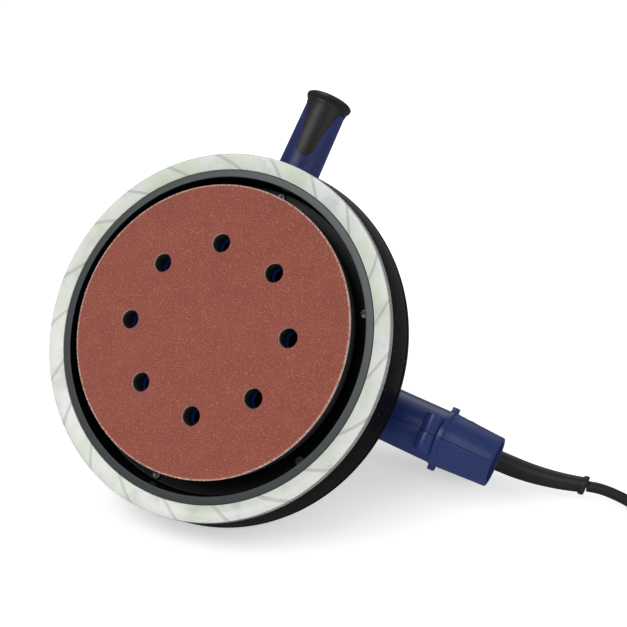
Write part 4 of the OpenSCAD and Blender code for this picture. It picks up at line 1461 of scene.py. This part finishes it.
@dataclass
class PowerLead:
    """The power cord from the boot's tip over the floor to its coil, and its plug."""

    diameter: float = 7.0
    coil_x: float = 268.7
    coil_y: float = -66.0
    outer_turn: float = 47.0
    inner_turn: float = 33.0
    rise: float = 0.125
    plug_at: tuple[float, float, float] = (287.7, 4.0, 8.0)
    plug_length: float = 38.0
    plug_thickness: float = 14.8
    pin_radius: float = 2.4
    pin_length: float = 19.0
    pin_pitch: float = 19.0
    start_points: tuple[tuple[float, float, float], ...] = (
        (178.7, -57.2, 12.0),
        (187.7, -61.2, 10.3),
        (197.7, -66.2, 7.0),
        (207.7, -73.0, 4.3),
        (217.7, -81.5, 3.5),
        (226.6, -90.4, 3.5),
    )
    end_points: tuple[tuple[float, float, float], ...] = (
        (315.9, -54.0, 23.2),
        (315.9, -44.0, 20.0),
        (315.8, -34.0, 15.8),
        (315.7, -24.0, 12.0),
        (313.6, -13.3, 9.6),
        (307.5, -4.2, 8.4),
        (298.4, 1.9, 8.0),
        (287.7, 4.0, 8.0),
    )

    def coil(self) -> list[tuple[float, float, float]]:
        """The coil's own points: in, out, in and out again, one layer on the other.

        Returns:
            Points in millimetres in the row frame, fourteen to a turn.
        """
        legs = []
        layer, inner = self.diameter / 2, False
        for level in range(4):
            ends = (self.outer_turn, self.inner_turn)
            first, last = reversed(ends) if inner else ends
            legs.append((2.0, first, last, layer, layer))
            if level < 3:
                legs.append((self.rise, last, last, layer, layer + self.diameter))
            layer, inner = layer + self.diameter, not inner
        points = []
        turn = 0.0
        for length, r0, r1, z0, z1 in legs:
            count = max(3, round(length * 16))
            for k in range(count):
                t = k / count
                angle = math.radians(225) + 2 * math.pi * (turn + t * length)
                radius = r0 + (r1 - r0) * t
                x = self.coil_x + radius * math.cos(angle)
                y = self.coil_y + radius * math.sin(angle)
                points.append((x, y, z0 + (z1 - z0) * t))
            turn += length
        points.append((self.coil_x + self.outer_turn, self.coil_y, layer - self.diameter))
        return points

    def build(self) -> None:
        """Lays the cord and makes its plug."""
        tip = HEAD.at(230.0, -7.2, 125.0)
        route = [tuple(tip / MM), *self.start_points, *self.coil(), *self.end_points]
        data = bpy.data.curves.new("power_lead", "CURVE")
        data.dimensions = "3D"
        data.bevel_depth = self.diameter / 2 * MM
        data.bevel_resolution = 4
        data.resolution_u = 4
        data.use_fill_caps = True
        spline = data.splines.new("BEZIER")
        spline.bezier_points.add(len(route) - 1)
        for point, place in zip(spline.bezier_points, route):
            point.co = Vector(place) * MM
            point.handle_left_type = point.handle_right_type = "AUTO"
        cord = bpy.data.objects.new("power_lead", data)
        bpy.context.scene.collection.objects.link(cord)
        data.materials.append(PAINTS.rubber)
        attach(cord, "housing")
        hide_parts("power_cord", "cord_coil", "plug_lead")
        body = self._plug()
        pins = self._pins()
        self._length(cord)

    @staticmethod
    def _length(cord: Obj) -> float:
        """The length of the cord's own line, in metres."""
        bpy.context.view_layer.update()
        return cord.data.splines[0].calc_length()

    def _plug(self) -> Obj:
        """The moulded plug, lying flat, with finger ridges and a short relief for the cord."""
        x, y, z = self.plug_at
        half = [(0, 5.2), (8, 6.2), (18, 12.5), (27, 16.3), (self.plug_length, 17.3)]
        outline = [(x - a, y - b) for a, b in half] + [(x - a, y + b) for a, b in reversed(half)]
        thick = self.plug_thickness
        body = plate("plug_shell", [(px, py, z - thick / 2) for px, py in outline], (0, 0, thick))
        bevelled(body, 2.6, 40, 4)
        line = [(-3, 0.0, 5.6), (3, -0.2, 5.3), (7, -1.1, 4.9), (11, -2.3, 4.4)]
        relief = drawn_bar("relief", [(x + dx, y + dy, z, radius) for dx, dy, radius in line], 32)
        combined(body, [relief], "UNION")
        ridges = []
        for side in (-1, 1):
            for k in range(4):
                face = z + side * thick / 2
                low = (x - 24 - k * 3.0, y - 7, face - 0.45)
                high = (x - 22.6 - k * 3.0, y + 7, face + 0.45)
                ridges.append(block("ridge", low, high, 0.3, 2))
        combined(body, [joined("ridges", ridges)], "DIFFERENCE")
        return finished(body, "housing", PAINTS.rubber, ["plug_body"], laid=False)

    def _pins(self) -> Obj:
        """The two pins, round-ended, with a small step near the body."""
        x, y, z = self.plug_at
        r = self.pin_radius
        pins = []
        for side in (-1, 1):
            tip = [(r - 0.12, 8.2, 0), (r - 0.12, self.pin_length, 1.3), (0, self.pin_length, 0)]
            profile = rounded([(0, 0, 0), (r, 0, 0.1), (r, 8, 0.1), *tip])
            pin = spun("pin", profile, 32)
            moved(pin, Matrix.Rotation(math.radians(-90), 4, "Y"))
            foot = Vector((x - self.plug_length, y + side * self.pin_pitch / 2, z))
            moved(pin, Matrix.Translation(foot * MM))
            pins.append(pin)
        contacts = joined("plug_contacts", pins)
        return finished(contacts, "housing", PAINTS.steel, ["plug_pins"], laid=False)


@dataclass
class PadStack:
    """The abrasive sheet and what is behind it."""

    radius: float = 90.0
    thickness: float = 1.2
    hole_radius: float = 6.0
    hole_circle: float = 53.0
    holes: int = 8
    first_hole: float = -16.0

    def build(self) -> None:
        """Makes the sheet and dresses the rest of the pad."""
        r, t = self.radius, self.thickness
        sheet = spun("abrasive_sheet", [(0, 0), (r, 0), (r, t), (0, t)], 180)
        cutters = []
        for i in range(self.holes):
            turn = turned_about_spindle(self.first_hole + i * 360 / self.holes)
            place = turn @ at_place(self.hole_circle, 0, 0)
            cutters.append(rod("punch", self.hole_radius, 6, place, 56))
        combined(sheet, [joined("punches", cutters)], "DIFFERENCE")
        sheet.data.materials.append(None)
        sheet.data.materials.append(None)
        bevelled(sheet, 0.38, 50, 2, slot=1)
        for face in sheet.data.polygons:
            if abs(face.normal.z) < 0.95:
                face.material_index = 1
        moved(sheet, Matrix.Translation((0, -ORBIT_OFFSET * MM, 0)))
        finished(sheet, "pad", [PAINTS.abrasive, PAINTS.paper], ["abrasive_disc"])
        dress(
            {
                "hook_layer": PAINTS.hook,
                "foam_pad": PAINTS.foam,
                "pad_plate": PAINTS.blue_plate,
                "pad_spindle": PAINTS.steel,
                "pad_screw": PAINTS.screw,
            }
        )


@dataclass
class Shroud:
    """Drum, inner skirt with its lip, light ring and its board."""

    steps: int = 192
    drum_radius: float = 117.0
    shoulder: tuple[float, float] = (107.0, 33.0)
    ribs: int = 216
    rib_slant: float = 24.0

    def build(self) -> None:
        """Makes every piece of the shroud."""
        self._drum()
        self._skirt()
        self._light_ring()
        self._ribs()
        rounded_node(
            "skirt_screws", "skirt_screw_heads", PAINTS.screw, 0.15, 2, degrees=34
        )
        dress({"led_board": PAINTS.board, "led_chips": PAINTS.lamp})

    def _drum(self) -> None:
        """The glossy drum, with a fine groove just under its widest ring."""
        wide = self.drum_radius
        arc = self._shoulder(10, range(8, 91, 8))
        inner = self._shoulder(7, range(88, 0, -14))
        profile = rounded(
            [
                (113.4, 8.6, 0.3),
                (116.6, 30.2, 0.2),
                (116.15, 30.4, 0),
                (116.15, 31.1, 0),
                (116.75, 31.4, 0.2),
                (wide, 33, 0.6),
                *arc,
                (106.2, 43.35, 0.6),
                (99, 46.5, 2.0),
                (20, 46.5, 0.4),
                (20, 43.5, 0),
                (98.4, 43.5, 0),
                *inner,
                (114, 33, 0),
                (110.6, 8.6, 0),
                (113.4, 8.6, 0.3),
            ]
        )
        drum = spun("drum", profile, self.steps)
        finished(drum, "housing", PAINTS.drum, ["drum_shell"], degrees=24)

    def _shoulder(self, radius: float, degrees: range) -> list[tuple[float, float, float]]:
        """Points of the drum's rounded shoulder, at a radius from its middle."""
        x, z = self.shoulder
        turns = [math.radians(a) for a in degrees]
        return [(x + radius * math.cos(a), z + radius * math.sin(a), 0) for a in turns]

    def _skirt(self) -> None:
        """The skirt that ends in the flat lip round the pad, and the shelf inside it."""
        profile = rounded(
            [
                (98, 5.5, 0.45),
                (102.6, 5.5, 0.35),
                (102.6, 8.0, 0.1),
                (101, 8.0, 0.1),
                (101, 23.5, 0.2),
                (88, 23.5, 0.4),
                (88, 21, 0.4),
                (98, 21, 1.2),
                (98, 5.5, 0.45),
            ],
            5,
        )
        skirt = spun("skirt_and_lip", profile, self.steps)
        finished(skirt, "housing", PAINTS.lip, ["skirt_ring"], degrees=30)

    def _light_ring(self) -> None:
        """The light guide, with soft edges on its sloping face."""
        profile = rounded(
            [
                (102.9, 5.5, 0.45),
                (107.4, 4.35, 4.0),
                (111.9, 3.42, 0.7),
                (112.75, 4.3, 0.4),
                (113.35, 8.6, 0.1),
                (111.4, 8.6, 0.1),
                (110.6, 6.2, 0.8),
                (104.9, 7.6, 0.8),
                (104.9, 11.3, 0.1),
                (102.9, 11.3, 0.1),
                (102.9, 5.5, 0.45),
            ],
            5,
        )
        ring = spun("light_guide", profile, self.steps)
        finished(ring, "housing", PAINTS.pearl, ["light_ring"], degrees=30)

    def _ribs(self) -> None:
        """The slanting ribs round the light ring's outer edge."""
        rib = block("light_guide_ribs", (-0.5, -0.5, -2.0), (0.2, 0.5, 2.0), 0.15, 1)
        moved(rib, Matrix.Rotation(math.radians(8.0), 4, "Y"))
        moved(rib, Matrix.Rotation(math.radians(self.rib_slant), 4, "X"))
        moved(rib, Matrix.Translation((113.0 * MM, 0, 6.45 * MM)))
        ribs = [copied(rib, turned_about_spindle(i * 360 / self.ribs)) for i in range(1, self.ribs)]
        band = joined("light_guide_ribs", [rib, *ribs])
        finished(band, "housing", PAINTS.rib, degrees=30)


@dataclass
class DustDuct:
    """Elbow from the shroud and the two-part dust tube."""

    start: float = 95.5
    end: float = 178.0
    radius: float = 17.2
    end_radius: float = 15.65
    bore: float = 13.5
    rib: float = 146.0
    side: float = 1.8
    height: float = 70.0
    boss_radius: float = 5.4
    boss_length: float = 24.0
    seam: float = 0.34
    rib_radius: float = 18.7
    screw_way: float = 2.2

    def build(self) -> None:
        """Makes the elbow and both halves of the tube."""
        rounded_node("dust_elbow", "elbow_duct", PAINTS.black, 0.4, 2)
        rounded_node(
            "elbow_screws", "elbow_screw_heads", PAINTS.screw, 0.12, 2, degrees=34
        )
        whole = self._whole_tube()
        for name, node, front in (
            ("tube_far_half", "dust_tube_left", True),
            ("tube_near_half", "dust_tube_right", False),
        ):
            half = half_of(whole, name, self.side, front, self.seam)
            bevelled(half, 0.5, 55, 3)
            finished(half, "housing", PAINTS.navy_duct, [node], degrees=32)
        bpy.data.objects.remove(whole)
        dress({"tube_screw": PAINTS.screw})

    def _whole_tube(self) -> Obj:
        """The tube before it is split: taper, rib, tabs and the cross boss.

        Returns:
            The closed tube in the head's frame.
        """
        profile = rounded(
            [
                (self.bore, self.start, 0.3),
                (self.radius, self.start, 0.6),
                (self.radius, self.rib - 3.5, 0.5),
                (self.rib_radius, self.rib - 3.5, 0.6),
                (self.rib_radius, self.rib, 0.6),
                (17.6, self.rib, 0.6),
                (17.25, self.rib + 5, 2.0),
                (self.end_radius + 0.15, self.end - 4, 1.0),
                (self.end_radius, self.end, 0.9),
                (self.bore, self.end, 0.5),
                (self.bore, self.start, 0.3),
            ],
            4,
        )
        tube = moved(spun("tube", profile, 120), at_place(0, self.side, self.height, Axis.REAR))
        across = self.rib - 9.0
        under = self.height - self.radius + 0.6
        r = self.boss_radius
        half = self.boss_length / 2
        section = rounded([(0, -half, 0), (r, -half, 0.9), (r, half, 0.9), (0, half, 0)])
        boss = spun("boss", section, 64)
        moved(boss, at_place(across, self.side, under, Axis.SIDE))
        low, high = (across - 4.4, self.side - 9, under), (across + 4.4, self.side + 9, under + 8)
        web = block("web", low, high, 1.2)
        tabs = [
            block(
                "tab",
                (self.rib - 3.7, self.side + y0, self.height - 3.4),
                (self.rib + 0.2, self.side + y1, self.height + 3.4),
                0.6,
            )
            for y0, y1 in ((17.6, 20.6), (-20.6, -17.6))
        ]
        combined(tube, [boss, web, *tabs], "UNION")
        middle = at_place((self.start + self.end) / 2, self.side, self.height, Axis.REAR)
        hollow = rod("hollow", self.bore, 120, middle, 96)
        screw_place = at_place(across, self.side, under - 1.6, Axis.SIDE)
        screw_way = rod("screw_way", self.screw_way, 60, screw_place, 32)
        return combined(tube, [hollow, screw_way], "DIFFERENCE")


@dataclass
class SideHandle:
    """Side handle: hard core, soft tongues on two faces and a soft flared end."""

    offset: float = -21.2
    height: float = 70.0
    base: float = 58.2
    grip: float = 170.0
    end: float = 178.0
    base_radius: float = 15.6
    neck_radius: float = 14.1
    flare_radius: float = 16.3
    tongue_width: float = 6.2
    tongue_reach: float = 39.0
    tongue_turn: float = 16.0

    def build(self) -> None:
        """Makes the core and the soft grip."""
        place = at_place(self.offset, 0, self.height, Axis.SIDE)
        core = spun("side_handle_body", self._core_profile(), 128)
        moved(core, place)
        finished(core, "housing", PAINTS.navy, ["side_handle_core"], degrees=40)
        collar = spun("side_handle_soft_grip", self._collar_profile(), 128)
        tongues = self._tongues()
        combined(collar, [tongues], "UNION")
        bevelled(collar, 0.35, 50, 2)
        moved(collar, place)
        finished(collar, "housing", PAINTS.grip, ["side_handle_grip"], degrees=40)
        dress({"side_stud": PAINTS.steel})

    def _core_profile(self) -> list[tuple[float, float]]:
        """Profile of the hard core, from its foot to the soft end."""
        return rounded(
            [
                (0, self.base, 0),
                (17.0, self.base, 0.9),
                (17.0, self.base + 3.2, 0.9),
                (self.base_radius, self.base + 6, 2.0),
                (self.base_radius - 0.5, self.base + 40, 20),
                (self.neck_radius + 0.1, self.end - 9.5, 3),
                (self.neck_radius + 0.1, self.grip - 0.6, 0.3),
                (self.neck_radius - 0.6, self.grip - 0.05, 0),
                (0, self.grip - 0.05, 0),
            ],
            6,
        )

    def _collar_profile(self) -> list[tuple[float, float]]:
        """Profile of the soft end, with its flare and a shallow dish."""
        return rounded(
            [
                (0, self.grip, 0),
                (self.neck_radius - 0.5, self.grip, 0),
                (self.neck_radius + 0.3, self.grip + 0.5, 0.4),
                (self.neck_radius + 0.6, self.end - 5.3, 3),
                (self.flare_radius, self.end - 2.6, 1.2),
                (self.flare_radius, self.end - 1.0, 0.8),
                (self.flare_radius - 1.3, self.end, 0.8),
                (11.5, self.end, 1.0),
                (10.0, self.end - 1.2, 1.0),
                (0, self.end - 1.2, 0),
            ],
            6,
        )

    def _tongues(self) -> Obj:
        """The two soft tongues: a thin sleeve, cut to the tongue's outline."""
        low, high = self.end - self.tongue_reach - self.tongue_width - 1, self.grip + 1.5
        skin = []
        count = 10
        for k in range(count + 1):
            s = low - 1 + (high - low + 1) * k / count
            skin.append((self._skin(s) + 0.36, s))
        inner = [(r - 1.4, s) for r, s in reversed(skin)]
        sleeve = spun("sleeve", [*skin, *inner, skin[0]], 128)
        w, turn = self.tongue_width, self.end - self.tongue_reach
        turns = [math.radians(a) for a in range(180, 361, 12)]
        outline = [(w * math.cos(a), turn + w * math.sin(a)) for a in turns]
        growth = [(0.6, 7), (1.8, 15), (3.6, 24), (5.9, 31)]
        flank = [*((w + wider, turn + up) for wider, up in growth), (w + 8.8, high)]
        outline += flank + [(-x, s) for x, s in reversed(flank)]
        stencil = plate("stencil", [(x, -30, s) for x, s in outline], (0, 60, 0))
        moved(stencil, Matrix.Rotation(math.radians(self.tongue_turn), 4, "Z"))
        return combined(sleeve, [stencil], "INTERSECT")

    def _skin(self, s: float) -> float:
        """The core's radius at a distance along the handle."""
        start, stop = self.base + 40, self.end - 9.5
        share = min(1.0, max(0.0, (s - start) / (stop - start)))
        return (self.base_radius - 0.5) * (1 - share) + (self.neck_radius + 0.12) * share


@dataclass
class RearHandle:
    """Rear handle in two halves with its soft sleeve, controls and cord boot."""

    side: float = 1.8
    height: float = 125.0
    radius: float = 16.0
    end: float = 164.0
    saddle: float = 64.0
    saddle_half_width: float = 20.0
    saddle_half_height: float = 15.0
    grip_start: float = 96.0
    grip_end: float = 150.0
    dial: float = 58.0
    slide: float = 79.0
    root_start: float = 38.0
    bar_start: float = 78.0
    motor_space: float = 45.25
    dial_well: float = 8.35

    def build(self) -> None:
        """Makes the halves, the sleeve, the controls and the boot."""
        whole = self._whole()
        for name, node, front in (
            ("handle_far_half", "handle_left", True),
            ("handle_near_half", "handle_right", False),
        ):
            half = half_of(whole, name, self.side, front)
            self._openings(half, front)
            bevelled(half, 0.45, 50, 3)
            finished(half, "housing", PAINTS.navy, [node], degrees=36)
        bpy.data.objects.remove(whole)
        self._sleeve()
        self._boot()
        for node, name, body, slot, paint in (
            ("slide_switch", "power_slider", "slide_switch", "control_red", PAINTS.red),
            ("speed_dial", "speed_wheel", "speed_dial", "control_red", PAINTS.red),
            ("light_switch", "light_rocker_cap", "light_switch", "rocker_grey", PAINTS.grey),
        ):
            rounded_node(node, name, paint, 0.35, body=body)
        dress(
            {
                "handle_screws": PAINTS.screw,
                "switch_module": PAINTS.black,
                "cord_clamp": PAINTS.black,
                "clamp_screws": PAINTS.screw,
            }
        )

    def _whole(self) -> Obj:
        """The handle before it is split: a boxy root that flows into a round bar.

        Returns:
            The closed handle in the head's frame.
        """
        clear_choice()
        bpy.ops.mesh.primitive_plane_add(size=1, location=(0, 0, 0))
        root = named("handle")
        bpy.ops.object.mode_set(mode="EDIT")
        bpy.ops.mesh.select_all(action="SELECT")
        size = (2 * self.saddle_half_height * MM, 2 * self.saddle_half_width * MM, 1)
        bpy.ops.transform.resize(value=size, center_override=(0, 0, 0))
        bpy.ops.mesh.bevel(offset=7 * MM, segments=11, affect="VERTICES")
        bpy.ops.mesh.select_all(action="SELECT")
        rise = (self.saddle - self.root_start) * MM
        bpy.ops.mesh.extrude_region_move(TRANSFORM_OT_translate={"value": (0, 0, rise)})
        bpy.ops.mesh.delete(type="ONLY_FACE")
        close_edit()
        moved(root, at_place(self.root_start, self.side, self.height, Axis.REAR))
        r = self.radius
        dome = [(156, 0.2), (160, 0.9), (162.5, 2.2), (163.6, 3.8), (self.end, 5.5)]
        start = self.bar_start
        stations = [(start, r), (90, r), (150, r), *((x, r - less) for x, less in dome)]
        bar = drawn_bar("bar", [(x, self.side, self.height, rr) for x, rr in stations], 48)
        select_faces(bar, lambda at, normal: at.x < (start + 0.1) * MM and normal.x < -0.9)
        bpy.ops.mesh.delete(type="ONLY_FACE")
        close_edit()
        whole = joined("handle_whole", [root, bar])
        bpy.ops.object.mode_set(mode="EDIT")
        bpy.ops.mesh.select_mode(type="EDGE")
        bpy.ops.mesh.select_all(action="DESELECT")
        bpy.ops.mesh.select_non_manifold(
            extend=False,
            use_wire=True,
            use_boundary=True,
            use_multi_face=False,
            use_non_contiguous=False,
            use_verts=False,
        )
        close_edit()
        between = (self.saddle - 4) * MM
        for edge in whole.data.edges:
            ends = [whole.data.vertices[i].co.x for i in edge.vertices]
            edge.select = edge.select and min(ends) > between
        for vertex in whole.data.vertices:
            vertex.select = vertex.select and vertex.co.x > between
        bpy.ops.object.mode_set(mode="EDIT")
        bpy.ops.mesh.bridge_edge_loops(number_cuts=7, interpolation="SURFACE", smoothness=1.0)
        close_edit()
        cleaned(whole)
        fill_holes(whole)
        motor_space = rod("motor_space", self.motor_space, 200, at_place(0, 0, 100), 128)
        return combined(whole, [motor_space], "DIFFERENCE")

    def _openings(self, half: Obj, far: bool) -> None:
        """Sinks the windows of the controls into one half.

        Args:
            half: The half.
            far: Whether it is the half on the +Y side.
        """
        if far:
            y = self.side + self.saddle_half_width
            low = (self.dial - 6.3, y - 7, self.height - 4.3)
            high = (self.dial + 6.3, y + 4, self.height + 4.3)
            cutters = [block("rocker_window", low, high, 0.8)]
        else:
            y = self.side - self.radius
            low = (self.slide - 6, y - 4, self.height - 3.2)
            high = (self.slide + 12, y + 5.2, self.height + 3.2)
            cutters = [block("slide_window", low, high, 0.8)]
            well = at_place(self.dial, self.side - 20.2, self.height, Axis.SIDE)
            cutters.append(rod("dial_well", self.dial_well, 8, well))
        combined(half, cutters, "DIFFERENCE")

    def _sleeve(self) -> None:
        """The soft sleeve with finger grooves."""
        outer = [(16.05, self.grip_start, 0), (16.9, self.grip_start, 0.4)]
        count = 9
        pitch = (self.grip_end - self.grip_start - 6) / count
        for k in range(count):
            s = self.grip_start + 3 + k * pitch
            groove = [(17.0, 0.9, 0.5), (16.35, 1.5, 0.4), (16.35, 2.6, 0.4), (17.0, 3.2, 0.5)]
            outer += [(radius, s + along, edge) for radius, along, edge in groove]
        outer += [(16.9, self.grip_end, 0.4), (16.05, self.grip_end, 0), (16.05, self.grip_start, 0)]
        sleeve = spun("handle_sleeve", rounded(outer, 2), 96)
        moved(sleeve, at_place(0, self.side, self.height, Axis.REAR))
        finished(sleeve, "housing", PAINTS.grip, ["handle_grip"], degrees=30)

    def _boot(self) -> None:
        """The cord boot: flange, flex rings near the handle, a gentle bend and a bead at the tip."""
        line = [(156.1, 0.0, 9.8), (159.0, 0.0, 9.8), (159.1, 0.0, 7.2)]
        for k in range(3):
            x = 161.5 + k * 3.4
            ring = [(0.0, 0.02, 7.1), (0.5, 0.03, 6.4), (1.5, 0.04, 6.4), (2.0, 0.05, 7.05)]
            line += [(x + dx, -dip * k, radius - 0.05 * k) for dx, dip, radius in ring]
        steps = 14
        for k in range(steps + 1):
            t = k / steps
            x = 184.5 + (226.2 - 184.5) * t
            line.append((x, -0.65 - 2.3 * t - 5.4 * t * t, 6.75 - 1.5 * t))
        line += [(226.5, -8.4, 6.2), (227.4, -8.55, 6.35), (229.2, -8.85, 6.35)]
        line += [(229.9, -8.97, 5.9), (230.0, -9.0, 4.2)]
        stations = [(x, self.side + dy, self.height, radius) for x, dy, radius in line]
        boot = drawn_bar("cord_relief", stations, 48)
        finished(boot, "housing", PAINTS.rubber, ["cord_boot"], degrees=38)


@dataclass
class Motor:
    """Motor housing, its cap and everything that turns or stands inside it."""

    edge: float = 0.6

    def build(self) -> None:
        """Refines the housing and dresses the inner pieces."""
        for node, name, slot, paint, edge in (
            ("motor_housing", "motor_case", "navy_plastic", PAINTS.navy, self.edge),
            ("motor_cap", "motor_end_cap", "black_plastic", PAINTS.black, self.edge),
            ("housing_screws", "housing_screw_heads", "screw_steel", PAINTS.screw, 0.15),
            ("cap_screws", "cap_screw_heads", "screw_steel", PAINTS.screw, 0.15),
        ):
            rounded_node(node, name, paint, edge)
        dress(
            {
                "orbit_bearing": PAINTS.steel,
                "eccentric_hub": PAINTS.alloy,
                "counterweight": PAINTS.iron,
                "armature_shaft": PAINTS.steel,
                "armature_core": PAINTS.iron,
                "armature_windings": PAINTS.copper,
                "commutator": PAINTS.copper,
                "cooling_fan": PAINTS.black,
                "bearing_plate": PAINTS.alloy,
                "plate_screws": PAINTS.screw,
                "lower_bearing": PAINTS.steel,
                "upper_bearing": PAINTS.steel,
                "stator_core": PAINTS.iron,
                "field_coils": PAINTS.copper,
                "brush_holders": PAINTS.brass,
                "carbon_brushes": PAINTS.carbon,
            }
        )


def fill_holes(obj: Obj) -> None:
    """Closes every open loop of a piece.

    Args:
        obj: The piece.
    """
    choose(obj)
    bpy.ops.object.mode_set(mode="EDIT")
    bpy.ops.mesh.select_all(action="SELECT")
    bpy.ops.mesh.fill_holes(sides=0)
    bpy.ops.mesh.normals_make_consistent(inside=False)
    close_edit()


def dress(materials: dict[str, Material]) -> None:
    """Gives CAD nodes that stay on show their materials.

    Args:
        materials: The material of each node.
    """
    for node, material in materials.items():
        obj = frame["nodes"][node]
        if not obj.material_slots:
            obj.data.materials.append(material)
        for slot in obj.material_slots:
            slot.material = material
        LOG.info("%s: kept from the frame as %s", node, material.name)


def corners(box: tuple[Vector, Vector]) -> list[list[float]]:
    """A box as plain lists of numbers."""
    return [[round(float(value), 6) for value in corner] for corner in box]


def main() -> None:
    """Builds the tool, sub-assembly by sub-assembly."""
    logging.basicConfig(level=logging.INFO, format="%(name)s %(message)s")
    kinds = (Studio, PowerLead, PadStack, Shroud, DustDuct, SideHandle, RearHandle, Motor)
    for kind in kinds:
        LOG.info("building %s", kind.__name__)
        kind().build()
    clear_choice()


if __name__ == "__main__":
    main()
